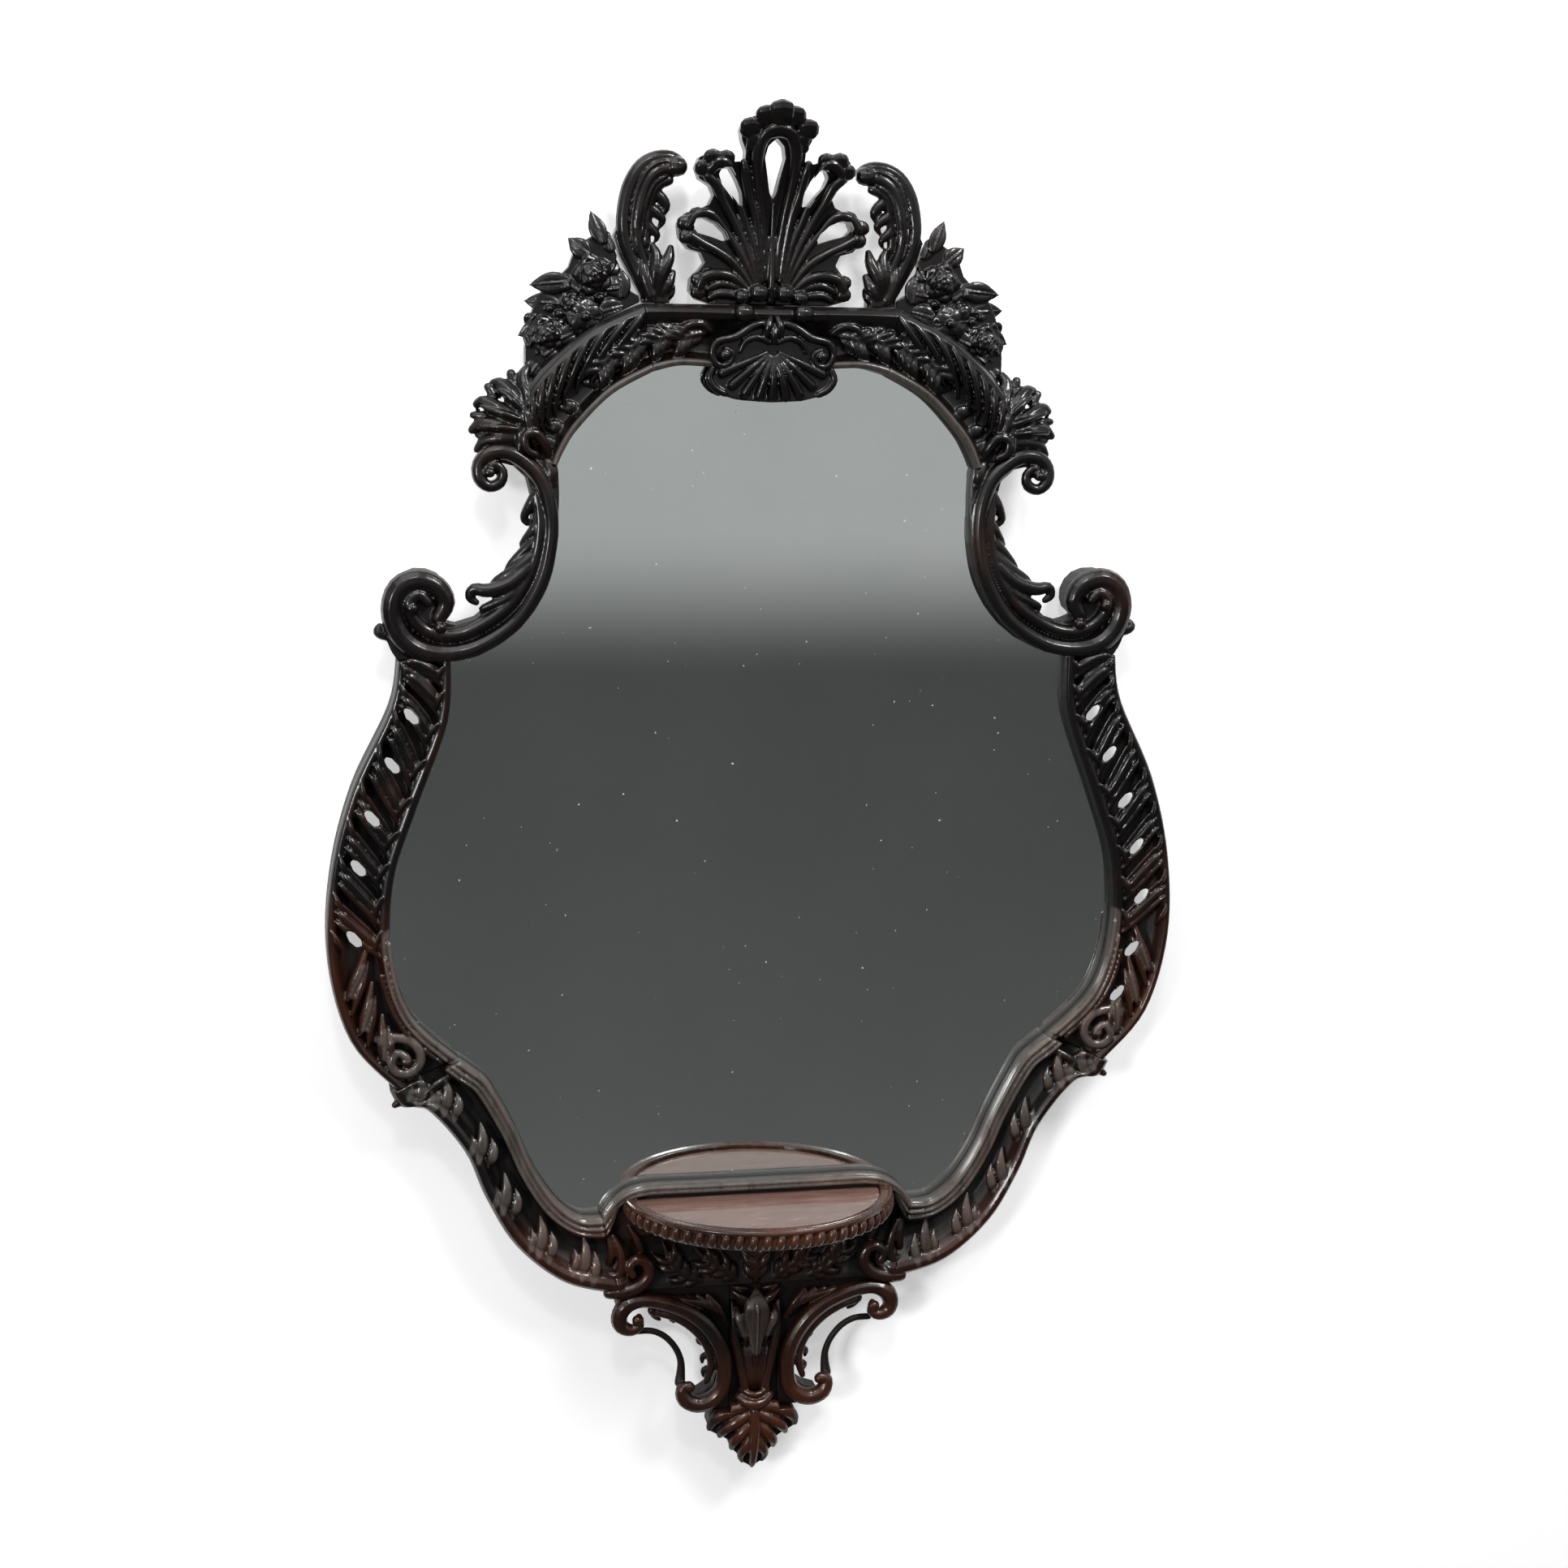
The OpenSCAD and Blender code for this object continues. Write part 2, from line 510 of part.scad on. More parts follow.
module flower_spray_left() { color(wood) mirror([1, 0, 0]) flower_spray(); }
module flower_spray_right() { color(wood) flower_spray(); }

// Pendant shell: fluted, planted on the middle of the top rail and hanging over the glass
module pendant_shell() {
  edge = place([[0, 1034], [14, 1030], [30, 1016], [44, 1009], [53, 1000], [53, 988], [58, 979], [56, 969],
    [45, 961], [25, 956.5], [0, 955]]);
  fan = [[0, 960], [17, 961.5], [34, 966], [48, 975]];
  color(wood) {
    slab(concat(edge, turned(flipped(edge))), front_y, front_y + 6);
    for (p = fan) lobe([p[0]*0.2, 998], p, 3, 6.5, front_y, 12, 8);
    for (p = fan) if (p[0] > 0) lobe([-p[0]*0.2, 998], [-p[0], p[1]], 3, 6.5, front_y, 12, 8);
    lobe([0, 1012], [0, 1026], 8, 6, front_y, 12, 8);
    both() {
      lobe([41, 996], [42, 996], 10, 10, front_y, 9, 9);
      lobe([41, 996], [42, 996], 4, 4, front_y, 15, 15);
      lobe([14, 1018], [30, 1008], 5, 6, front_y, 9, 9);
    }
  }
}

// Shelf: a half-round board with a gadrooned rim planted round its curved edge
rim_t = 13;
rim_low = at([0, 250])[1];
rim_h = shelf_t + 5;
function arc(inset, n, a1 = 0, a2 = 180) = [for (i = [0:n]) let (t = a1 + (a2 - a1)*i/n)
  [(shelf_w/2 - inset)*cos(t), -front_y - (shelf_d - inset)*sin(t)]];
module shelf_board() {
  color(wood_worn) difference() {
    translate([0, 0, rim_low + 1]) linear_extrude(shelf_t) polygon(arc(rim_t, 32));
    shelf_screw_set(shelf_screw_r + fit, 0.5, 0.5);
  }
}
module shelf_rim() {
  lobe_r = min((shelf_w/2 + shelf_d)/2*PI/gadroons*0.51, rim_t/2 - 0.15);
  color(wood_worn) translate([0, 0, rim_low]) {
    linear_extrude(rim_h) polygon(concat(arc(4, 32), turned(arc(rim_t, 32))));
    translate([0, 0, rim_h - 3]) linear_extrude(3) polygon(concat(arc(2, 32), turned(arc(rim_t, 32))));
    for (p = arc(lobe_r, gadroons - 1, 5, 175))
      translate([p[0], p[1], 1.5]) cylinder(r = lobe_r, h = rim_h - 6, $fn = 32);
  }
}

// Long screws driven from behind, through the bottom rail, into the back edge of the shelf
shelf_screw_r = 1.9;
shelf_screw_x = [-shelf_w*0.31, 0, shelf_w*0.31];
module shelf_screw_set(shank, head_r, head_t, sides = 32) {
  for (x = shelf_screw_x) translate([x, -back_y - 6, rim_low + 1 + shelf_t/2]) rotate([90, 0, 0]) {
    cylinder(r = shank, h = board_t + 14, $fn = sides);
    translate([0, 0, -head_t]) cylinder(r = head_r, h = head_t, $fn = sides);
  }
}
module shelf_screws() { color(steel) shelf_screw_set(shelf_screw_r, 3.8, 2.5); }

// Mirror glass, lying in the rebate behind the carved edge
module mirror_glass() {
  color("#b8c0c4") slab(grown(sight, glass_lap), glass_y - glass_t, glass_y);
}

// Cork pads that hold the glass forward against the rebate
pad_spots = [[0, 920], [112, 870], [150, 720], [230, 600], [215, 440], [80, 560], [95, 340]];
module spacer_pads() {
  spots = [for (p = pad_spots) at(p)];
  color("#a9784c") screw_set(spots, 10, back_y + back_t, glass_y - glass_t);
}

// Thin softwood backboard, set flush into the back of the frame
module backboard() {
  color("#9a7449") difference() {
    slab(grown(sight, glass_lap + 7.2), back_y, back_y + back_t);
    screw_set(backboard_spots, screw_r + 0.2, back_y - 1, back_y + back_t + 1);
  }
}
module backboard_screws() {
  color(steel) wood_screws(backboard_spots, screw_r, back_y, back_y + 13, 3, 1.8);
}

// Beech dowels in the seams of the frame and under the crest
module joint_dowels() { color("#b58e5c") dowel_set(dowel_d, dowel_l); }

// Batten screwed across the joint between the crest shell and the top rail
batten_t = 6;
module crest_batten() {
  low = at([0, 1000]);
  high = at([0, 1078]);
  color("#8a6238") difference() {
    translate([-15, -back_y, low[1]]) cube([30, batten_t, high[1] - low[1]]);
    screw_set(batten_spots, 3.3, back_y - batten_t - 1, back_y - batten_t + 2);
    screw_set(batten_spots, screw_r + 0.2, back_y - batten_t, back_y + 1);
  }
}
module batten_screws() {
  color(steel) wood_screws(batten_spots, screw_r, back_y - batten_t + 2, back_y + 12, 3, 1.9);
}

// Rubber bumpers that keep the frame off the wall
module wall_bumpers() {
  color("#2a2a2a") difference() {
    screw_set(bumper_spots, 8, 0, back_y);
    screw_set(bumper_spots, 4, -1, 3);
    screw_set(bumper_spots, screw_r + 0.2, 2, back_y + 1);
  }
}
module bumper_screws() {
  color(steel) wood_screws(bumper_spots, screw_r, 3, back_y + 12, 3.6, 2.2);
}

// Hanging strap: a steel plate whose top is rolled round the bar of its ring
strap_w = 16;
strap_sheet = 1.5;
knuckle_r = ring_wire/2 + 0.08;
pin_y = back_y - knuckle_r - strap_sheet - 0.35;
module at_hinge() {
  translate([hinge[0], -pin_y, hinge[1]]) children();
}
module hanger_strap() {
  color(steel) difference() {
    union() {
      translate([hinge[0] - strap_w/2, -back_y, hinge[1] - 40]) cube([strap_w, strap_sheet, 36]);
      translate([hinge[0] - 5.5, -back_y, hinge[1] - 5]) cube([11, strap_sheet, 5]);
      at_hinge() rotate([0, 90, 0]) cylinder(r = knuckle_r + strap_sheet, h = 11, center = true, $fn = 48);
    }
    at_hinge() rotate([0, 90, 0]) cylinder(r = knuckle_r, h = 30, center = true, $fn = 48);
    screw_set(strap_spots, screw_r + 0.2, back_y - 3, back_y + 1);
  }
}
module hanger_strap_left() { mirror([1, 0, 0]) hanger_strap(); }
module hanger_strap_right() { hanger_strap(); }

// Hanging ring: a D of bent wire with its straight side through the knuckle
ring_r = 9.5;
ring_side = 12;
module hanger_ring() {
  color(steel) at_hinge() rotate([ring_angle, 0, 0]) {
    rotate([0, 90, 0]) cylinder(d = ring_wire, h = 2*ring_r, center = true, $fn = 32);
    for (x = [-ring_r, ring_r]) {
      translate([x, 0, 0]) sphere(d = ring_wire, $fn = 32);
      translate([x, 0, -ring_side]) cylinder(d = ring_wire, h = ring_side, $fn = 32);
    }
    translate([0, 0, -ring_side]) rotate([-90, 0, 0])
      rotate_extrude(angle = 180, $fn = 64) translate([ring_r, 0]) circle(d = ring_wire, $fn = 32);
  }
}
module hanger_ring_left() { mirror([1, 0, 0]) hanger_ring(); }
module hanger_ring_right() { hanger_ring(); }
module hanger_screws() {
  color(steel) wood_screws(strap_spots, screw_r, back_y - strap_sheet, strap_end, 3.2, 1.5);
}

// Names of the sub-parts
top_rail_centre();
top_rail_left();
top_rail_right();
shoulder_left();
shoulder_right();
side_rail_left();
side_rail_right();
lower_rail_left();
lower_rail_right();
bottom_rail();
apron_scroll_left();
apron_scroll_right();
apron_drop();
crest_shell();
crest_scroll_left();
crest_scroll_right();
flower_spray_left();
flower_spray_right();
pendant_shell();
shelf_board();
shelf_rim();
mirror_glass();
spacer_pads();
backboard();
backboard_screws();
joint_dowels();
crest_batten();
batten_screws();
shelf_screws();
wall_bumpers();
bumper_screws();
hanger_strap_left();
hanger_strap_right();
hanger_ring_left();
hanger_ring_right();
hanger_screws();
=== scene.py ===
from math import cos, pi, radians, sin

import bpy
import numpy as np
from mathutils import Matrix, Vector


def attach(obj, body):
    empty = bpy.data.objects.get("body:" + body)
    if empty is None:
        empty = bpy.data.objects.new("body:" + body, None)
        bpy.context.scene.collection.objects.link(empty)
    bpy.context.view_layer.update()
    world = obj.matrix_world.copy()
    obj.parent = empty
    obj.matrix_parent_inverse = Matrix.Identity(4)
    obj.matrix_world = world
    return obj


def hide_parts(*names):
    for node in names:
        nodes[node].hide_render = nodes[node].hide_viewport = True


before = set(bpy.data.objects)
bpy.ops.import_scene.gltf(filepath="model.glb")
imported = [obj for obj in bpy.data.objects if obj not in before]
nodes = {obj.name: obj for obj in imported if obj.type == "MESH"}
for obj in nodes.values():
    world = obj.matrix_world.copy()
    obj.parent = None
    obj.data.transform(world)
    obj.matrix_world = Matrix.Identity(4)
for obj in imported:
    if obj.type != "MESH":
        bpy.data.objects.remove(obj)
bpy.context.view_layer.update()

# Camera. The picture was taken from a little to the left of the mirror and just above its middle,
# about two metres away, with the camera tipped down.
heading = Matrix.Rotation(radians(-11.9), 3, "Z")
tip = Matrix.Rotation(radians(79.8), 3, "X")
roll = Matrix.Rotation(radians(1.03), 3, "Z")
bpy.ops.object.camera_add(location=(-0.409, -2.057, 0.196))
camera = bpy.context.object
camera.name = "camera"
camera.rotation_euler = (heading @ tip @ roll).to_euler()
camera.data.lens = 56
camera.data.sensor_width = 36
bpy.context.scene.camera = camera


class Signal:
    """A socket whose value can be worked with as a number."""

    def __init__(self, tree, socket):
        self.tree = tree
        self.socket = socket

    def math(self, operation, other=None):
        n = self.tree.nodes.new("ShaderNodeMath")
        n.operation = operation
        self.tree.links.new(self.socket, n.inputs[0])
        if isinstance(other, Signal):
            self.tree.links.new(other.socket, n.inputs[1])
        elif other is not None:
            n.inputs[1].default_value = other
        return Signal(self.tree, n.outputs[0])

    def __add__(self, other):
        return self.math("ADD", other)

    def __mul__(self, other):
        return self.math("MULTIPLY", other)

    def __sub__(self, other):
        return self.math("SUBTRACT", other)

    def __rsub__(self, other):
        return self.math("MULTIPLY", -1).math("ADD", other)

    __radd__ = __add__

    def clamped(self):
        return self.math("MAXIMUM", 0).math("MINIMUM", 1)


class Finish:
    """A material under way, with one method that adds any node."""

    def __init__(self, name):
        self.material = bpy.data.materials.new(name)
        self.material.use_nodes = True
        self.tree = self.material.node_tree
        self.surface = self.tree.nodes["Principled BSDF"]
        self.output = self.tree.nodes["Material Output"]

    def add(self, kind, settings=None, output=0, **sockets):
        n = self.tree.nodes.new("ShaderNode" + kind)
        for key, value in (settings or {}).items():
            if key == "stops":
                ramp = n.color_ramp
                while len(ramp.elements) < len(value):
                    ramp.elements.new(0.5)
                for element, (place, colour) in zip(ramp.elements, value):
                    element.position = place
                    element.color = (*colour, 1)
            else:
                setattr(n, key, value)
        for key, value in sockets.items():
            self.feed(n, key.replace("_", " "), value)
        return Signal(self.tree, n.outputs[output])

    def feed(self, n, name, value):
        socket = n.inputs[int(name[1:])] if name[0] == "i" and name[1:].isdigit() else n.inputs[name]
        if isinstance(value, Signal):
            self.tree.links.new(value.socket, socket)
        else:
            socket.default_value = value

    def set(self, **sockets):
        for key, value in sockets.items():
            self.feed(self.surface, key.replace("_", " "), value)


# Backdrop. A pale wall stands just behind the mirror and a pale floor lies well below it. The wall is
# white to the camera and keeps the soft shadow of the frame; from behind it is clear.
def backdrop_finish(name, grey, lift, fade=None):
    f = Finish(name)
    straight = f.add("LightPath", output="Is Camera Ray")
    mirrored = f.add("LightPath", output="Is Glossy Ray")
    if fade:
        eased = {"interpolation_type": "SMOOTHSTEP"}
        height = f.add("SeparateXYZ", output="Z", i0=f.add("TexCoord", output="Object"))
        low, high, dark, pale = fade
        tone = f.add("MapRange", eased, Value=height, i1=low, i2=high, i3=dark, i4=pale)
        window = f.add("MapRange", eased, Value=height, i1=1.3, i2=2.4, i3=0, i4=0.55)
        straight = straight*0.8
        mirrored = mirrored*(tone + window)
    f.set(Base_Color=(grey, grey, grey, 1), Roughness=0.9, Emission_Color=straight + mirrored,
        Emission_Strength=lift)
    return f


def pick(piece):
    bpy.ops.object.select_all(action="DESELECT")
    piece.select_set(True)
    bpy.context.view_layer.objects.active = piece


def from_corners(name, corners, faces):
    """A new object of these corners and faces, picked for the next step."""
    mesh = bpy.data.meshes.new(name)
    mesh.from_pydata(corners, [], faces)
    piece = bpy.data.objects.new(name, mesh)
    bpy.context.scene.collection.objects.link(piece)
    pick(piece)
    return piece


bpy.ops.object.select_all(action="DESELECT")
bpy.ops.mesh.primitive_plane_add(size=1, location=(0, 0.004, 0))
wall = bpy.context.object
wall.name = "wall"
wall.scale = (9, 9, 1)
wall.rotation_euler = (radians(90), 0, 0)
bpy.ops.object.transform_apply()
wall_paint = backdrop_finish("wall paint", 0.79, 0.49)
painted = Signal(wall_paint.tree, wall_paint.surface.outputs[0])
seen = wall_paint.add("MixShader", i0=wall_paint.add("NewGeometry", output="Backfacing"), i1=painted,
    i2=wall_paint.add("BsdfTransparent"))
wall_paint.feed(wall_paint.output, "Surface", seen)
wall.data.materials.append(wall_paint.material)

floor_z = -1.35
rise_y = -2.6
curve = 2.2
sweep = [(0.6, floor_z), (rise_y, floor_z)]
for degrees in np.linspace(7.5, 90, 12):
    a = radians(degrees)
    sweep.append((rise_y - curve*sin(a), floor_z + curve*(1 - cos(a))))
sweep.append((rise_y - curve, 4.2))
floor = from_corners("floor", [(x, y, z) for y, z in sweep for x in (-16, 16)],
    [(2*k, 2*k + 1, 2*k + 3, 2*k + 2) for k in range(len(sweep) - 1)])
bpy.ops.object.shade_smooth()
floor_paint = backdrop_finish("floor paint", 0.04, 1.0, (-0.66, -0.28, 0.035, 0.42))
floor.data.materials.append(floor_paint.material)


# Light. Small soft lamps stand in front, with one behind the wall for the back of the mirror, and the
# studio around is paler overhead than at eye level.
def soft_lamp(name, place, aim, size, watts):
    bpy.ops.object.light_add(type="AREA", location=place)
    lamp = bpy.context.object
    lamp.name = name
    lamp.data.size = size
    lamp.data.energy = watts
    lamp.rotation_euler = (Vector(aim) - Vector(place)).to_track_quat("-Z", "Y").to_euler()


soft_lamp("key lamp", (1.5, -1.9, 2.3), (0, 0, 0), 0.8, 84)
soft_lamp("fill lamp", (-1.9, -2.3, 0.1), (0, 0, -0.3), 0.5, 32)
soft_lamp("window lamp", (-0.5, -2.6, 2.6), (0, 0, 0), 0.4, 24)
soft_lamp("ceiling panel", (-0.9, -1.3, 2.3), (0, 0, -0.2), 2.0, 32)
soft_lamp("back lamp", (0.6, 2.4, 1.4), (0, 0, -0.2), 1.6, 80)

world = bpy.data.worlds.new("studio")
bpy.context.scene.world = world
world.use_nodes = True
tree = world.node_tree
around = tree.nodes.new("ShaderNodeTexCoord")
split = tree.nodes.new("ShaderNodeSeparateXYZ")
shade = tree.nodes.new("ShaderNodeMapRange")
shade.interpolation_type = "SMOOTHSTEP"
for socket, value in ((1, -0.04), (2, 0.3), (3, 0.08), (4, 0.34)):
    shade.inputs[socket].default_value = value
tree.links.new(around.outputs["Generated"], split.inputs[0])
tree.links.new(split.outputs["Z"], shade.inputs[0])
tree.links.new(shade.outputs[0], tree.nodes["Background"].inputs["Color"])
bpy.context.scene.view_settings.view_transform = "Standard"


# Finishes of the frame. The carving is hardwood stained nearly black, rubbed redder on its edges and
# waxed to a satin gloss, with dull dark hollows; where marked, its front crowns are painted pale as a
# painted highlight.
def carved_finish(name, dark, worn, shine):
    f = Finish(name)
    place = f.add("TexCoord", output="Object")
    drawn = f.add("Mapping", Vector=place, Scale=(14, 14, 3))
    grain = f.add("TexNoise", Vector=drawn, Scale=9, Detail=6, Roughness=0.62)
    pores = f.add("TexNoise", Vector=f.add("Mapping", Vector=place, Scale=(160, 160, 14)), Scale=3,
        Detail=3)
    cloud = f.add("TexNoise", Vector=place, Scale=9, Detail=4)
    height = f.add("SeparateXYZ", output="Z", i0=place)
    handled = f.add("MapRange", Value=height, i1=-0.75, i2=0.3, i3=1, i4=0.3)
    relief = f.add("SeparateXYZ", output="Y", i0=place)
    raised = (f.add("MapRange", Value=relief, i1=-0.03, i2=-0.04, i3=0.1, i4=1)
        + f.add("MapRange", Value=height, i1=0.1, i2=0.17)).clamped()
    edge = f.add("NewGeometry", output="Pointiness")
    ridge = ((edge - 0.5)*5).clamped()
    rubbed = ridge*0.75 + (cloud - 0.5)*2.1 + (grain - 0.5)*0.6 + (handled - 0.6)*0.8
    rubbed = rubbed.clamped()*handled*raised
    colour = f.add("Mix", {"data_type": "RGBA"}, output=2, i0=rubbed, i6=(*dark, 1), i7=(*worn, 1))
    # Painted highlight: where the attribute pale is set, the front crowns are painted pale grey, partly
    # over rubbed wear.
    pale = f.add("Attribute", {"attribute_name": "pale"}, output="Fac")
    painted_highlight = (pale*(0.2 + ridge*0.8 + (grain - 0.5)*0.5)).clamped()
    colour = f.add("Mix", {"data_type": "RGBA"}, output=2, i0=painted_highlight, i6=colour, i7=(0.26, 0.225, 0.2, 1))
    rough = f.add("MapRange", Value=grain, i3=shine - 0.08, i4=shine + 0.12) + (1 - raised)*0.3
    bump = f.add("Bump", Height=grain*0.4 + pores*0.6, Strength=0.14, Distance=0.0008)
    f.set(Base_Color=colour, Roughness=rough, Normal=bump, IOR=1.36, Coat_Weight=raised*0.32,
        Coat_Roughness=0.11)
    return f.material


black_wood = carved_finish("black brown carved wood", (0.003, 0.0022, 0.002), (0.085, 0.022, 0.007), 0.28)
red_wood = carved_finish("red brown polished wood", (0.03, 0.011, 0.006), (0.15, 0.058, 0.03), 0.26)


# Carving. Every carved piece is worked up from closed forms, laid out in millimetres on the drawing of
# the frame: across from the centre line, up from the bottom tip, and out from the wall. The forms are
# then run together into one skin, as a carver leaves them in the solid board.
hang = 808
back_face = 8
board_seat = 12
glass_seat = 24
board_lap = 13.6
glass_lap = 5.9


def across(half):
    """The right half of a line, completed with its mirror image on the left."""
    return [(-x, *rest) for x, *rest in half[::-1] if x] + half


def smooth(points, n):
    p = np.array(points, float)
    out = []
    for i in range(len(p) - 1):
        a, b, c, d = p[max(i - 1, 0)], p[i], p[i + 1], p[min(i + 2, len(p) - 1)]
        for t in np.arange(n)/n:
            out.append((2*b + (c - a)*t + (2*a - 5*b + 4*c - d)*t*t + (3*b - a - 3*c + d)*t**3)/2)
    out.append(p[-1])
    return np.array(out)


def unit(v):
    return v/max(np.linalg.norm(v), 1e-9)


def bands(rows, m):
    """Faces between closed rows of m corners each."""
    return [(i*m + k, i*m + (k + 1) % m, (i + 1)*m + (k + 1) % m, (i + 1)*m + k)
        for i in range(rows - 1) for k in range(m)]


class Carving:
    def __init__(self):
        self.corners = []
        self.faces = []

    def add(self, corners, faces):
        start = len(self.corners)
        self.corners += [tuple(c) for c in corners]
        self.faces += [tuple(start + i for i in f) for f in faces]

    def stroke(self, points, flat=1, n=3, sides=10):
        """A rounded form along points of across, up, out and radius."""
        p = smooth(points, n) if len(points) > 2 else np.array(points, float)
        p[:, 3] = np.maximum(p[:, 3], 0.25)
        place = p[:, :3]
        rings = []
        for i, q in enumerate(p):
            along = unit(place[min(i + 1, len(p) - 1)] - place[max(i - 1, 0)])
            wide = unit(np.cross(along, (0, 0, 1)))
            lift = np.cross(wide, along)
            stages = [(0, 1)]
            if i == 0:
                stages = [(-0.9, 0.42), (-0.6, 0.8), (0, 1)]
            if i == len(p) - 1:
                stages = [(0, 1), (0.6, 0.8), (0.9, 0.42)]
            for shift, size in stages:
                rings.append((q[:3] + along*shift*q[3], wide*q[3]*size, lift*q[3]*size*flat))
        turns = [2*pi*k/sides for k in range(sides)]
        corners = [c + w*cos(a) + u*sin(a) for c, w, u in rings for a in turns]
        tip = len(corners)
        last = tip - sides
        corners += [rings[0][0], rings[-1][0]]
        faces = bands(len(rings), sides)
        faces += [(tip, (k + 1) % sides, k) for k in range(sides)]
        faces += [(tip + 1, last + k, last + (k + 1) % sides) for k in range(sides)]
        self.add(corners, faces)

    def strokes(self, *lines, flat=1):
        for points in lines:
            self.stroke(points, flat)

    def pair(self, *lines):
        """The same strokes on both halves of a piece."""
        for side in (-1, 1):
            self.strokes(*[[(side*x, *rest) for x, *rest in points] for points in lines])

    def ball(self, x, z, out, r, flat=1):
        self.stroke([(x - r*0.12, z, out, r), (x + r*0.12, z, out, r)], flat)

    def slab(self, outline, back, front):
        n = len(outline)
        corners = [(x, z, d) for d in (back, front) for x, z in outline]
        faces = [tuple(range(n)), tuple(range(2*n - 1, n - 1, -1))]
        faces += [(i, n + i, n + (i + 1) % n, (i + 1) % n) for i in range(n)]
        self.add(corners, faces)

    def hole(self, outline):
        """A slab through the whole depth of the board, to be cut away."""
        self.slab(outline, 0, 70)

    def box(self, x0, z0, x1, z1):
        self.hole([(x0, z0), (x1, z0), (x1, z1), (x0, z1)])

    def loft(self, sections):
        m = len(sections[0])
        corners = [c for s in sections for c in s]
        end = (len(sections) - 1)*m
        faces = bands(len(sections), m) + [tuple(range(m - 1, -1, -1)), tuple(range(end, end + m))]
        self.add(corners, faces)

    def mesh(self, name):
        corners = [(x/1000, -out/1000, (z - hang)/1000) for x, z, out in self.corners]
        piece = from_corners(name, corners, self.faces)
        bpy.ops.object.mode_set(mode="EDIT")
        bpy.ops.mesh.select_all(action="SELECT")
        bpy.ops.mesh.normals_make_consistent(inside=False)
        bpy.ops.object.mode_set(mode="OBJECT")
        return piece


def run_together(piece, grain):
    pick(piece)
    piece.data.remesh_voxel_size = grain/1000
    bpy.ops.object.voxel_remesh()


def change(piece, kind, **settings):
    pick(piece)
    step = piece.modifiers.new(kind, kind)
    for key, value in settings.items():
        setattr(step, key, value)
    bpy.ops.object.modifier_apply(modifier=kind)


def flip(piece):
    for v in piece.data.vertices:
        v.co.x = -v.co.x
    piece.data.flip_normals()


def paint_highlights(piece, spots):
    """Marks where the front is painted pale as a highlight, partly over rubbed wear: points of the drawing,
    each with its reach.
    """
    soft_edge, hollow, slope = 1.6, 27, 5
    corners = np.empty(len(piece.data.vertices)*3, np.float32)
    piece.data.vertices.foreach_get("co", corners)
    x, y, z = corners.reshape(-1, 3).T*1000
    most = np.zeros(len(x))
    for at_x, at_z, reach in spots:
        most = np.maximum(most, (reach - np.hypot(x - at_x, z + hang - at_z))/soft_edge)
    front = np.clip((-y - hollow)/slope, 0, 1)
    mark = piece.data.attributes.new("pale", "FLOAT", "POINT")
    mark.data.foreach_set("value", (np.clip(most, 0, 1)*front).astype(np.float32))


def carve(name, node, forms, cuts=None, grain=1.25, finish=black_wood, ease=2, bend=None, spots=()):
    """Turns forms into the finished piece that stands for a node of the frame."""
    piece = forms.mesh(name)
    run_together(piece, grain)
    if cuts:
        tool = cuts.mesh("cuts")
        run_together(tool, grain)
        change(piece, "BOOLEAN", operation="DIFFERENCE", solver="MANIFOLD", object=tool)
        bpy.data.objects.remove(tool)
        run_together(piece, grain)
    change(piece, "SMOOTH", factor=0.5, iterations=ease)
    if bend:
        for v in piece.data.vertices:
            v.co.y -= bend(v.co.z*1000 + hang)/1000
    bpy.ops.object.shade_smooth()
    paint_highlights(piece, spots)
    settle(piece, node, finish)
    return piece


def settle(piece, node, material):
    piece.data.materials.clear()
    piece.data.materials.append(material)
    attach(piece, "mirror")
    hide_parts(node)


def other_side(piece, name, node):
    """The mirror image of a finished piece, for the other half of the frame."""
    pick(piece)
    bpy.ops.object.duplicate()
    twin = bpy.context.object
    twin.name = name
    twin.data.name = name
    for key in list(twin.keys()):
        del twin[key]
    flip(twin)
    settle(twin, node, twin.data.materials[0])
    return twin


def carve_both(name, node, forms, cuts=None, **settings):
    """The right piece, and its mirror image as the left one."""
    piece = carve(name + "_right", node + "_right", forms, cuts, **settings)
    return other_side(piece, name + "_left", node + "_left")


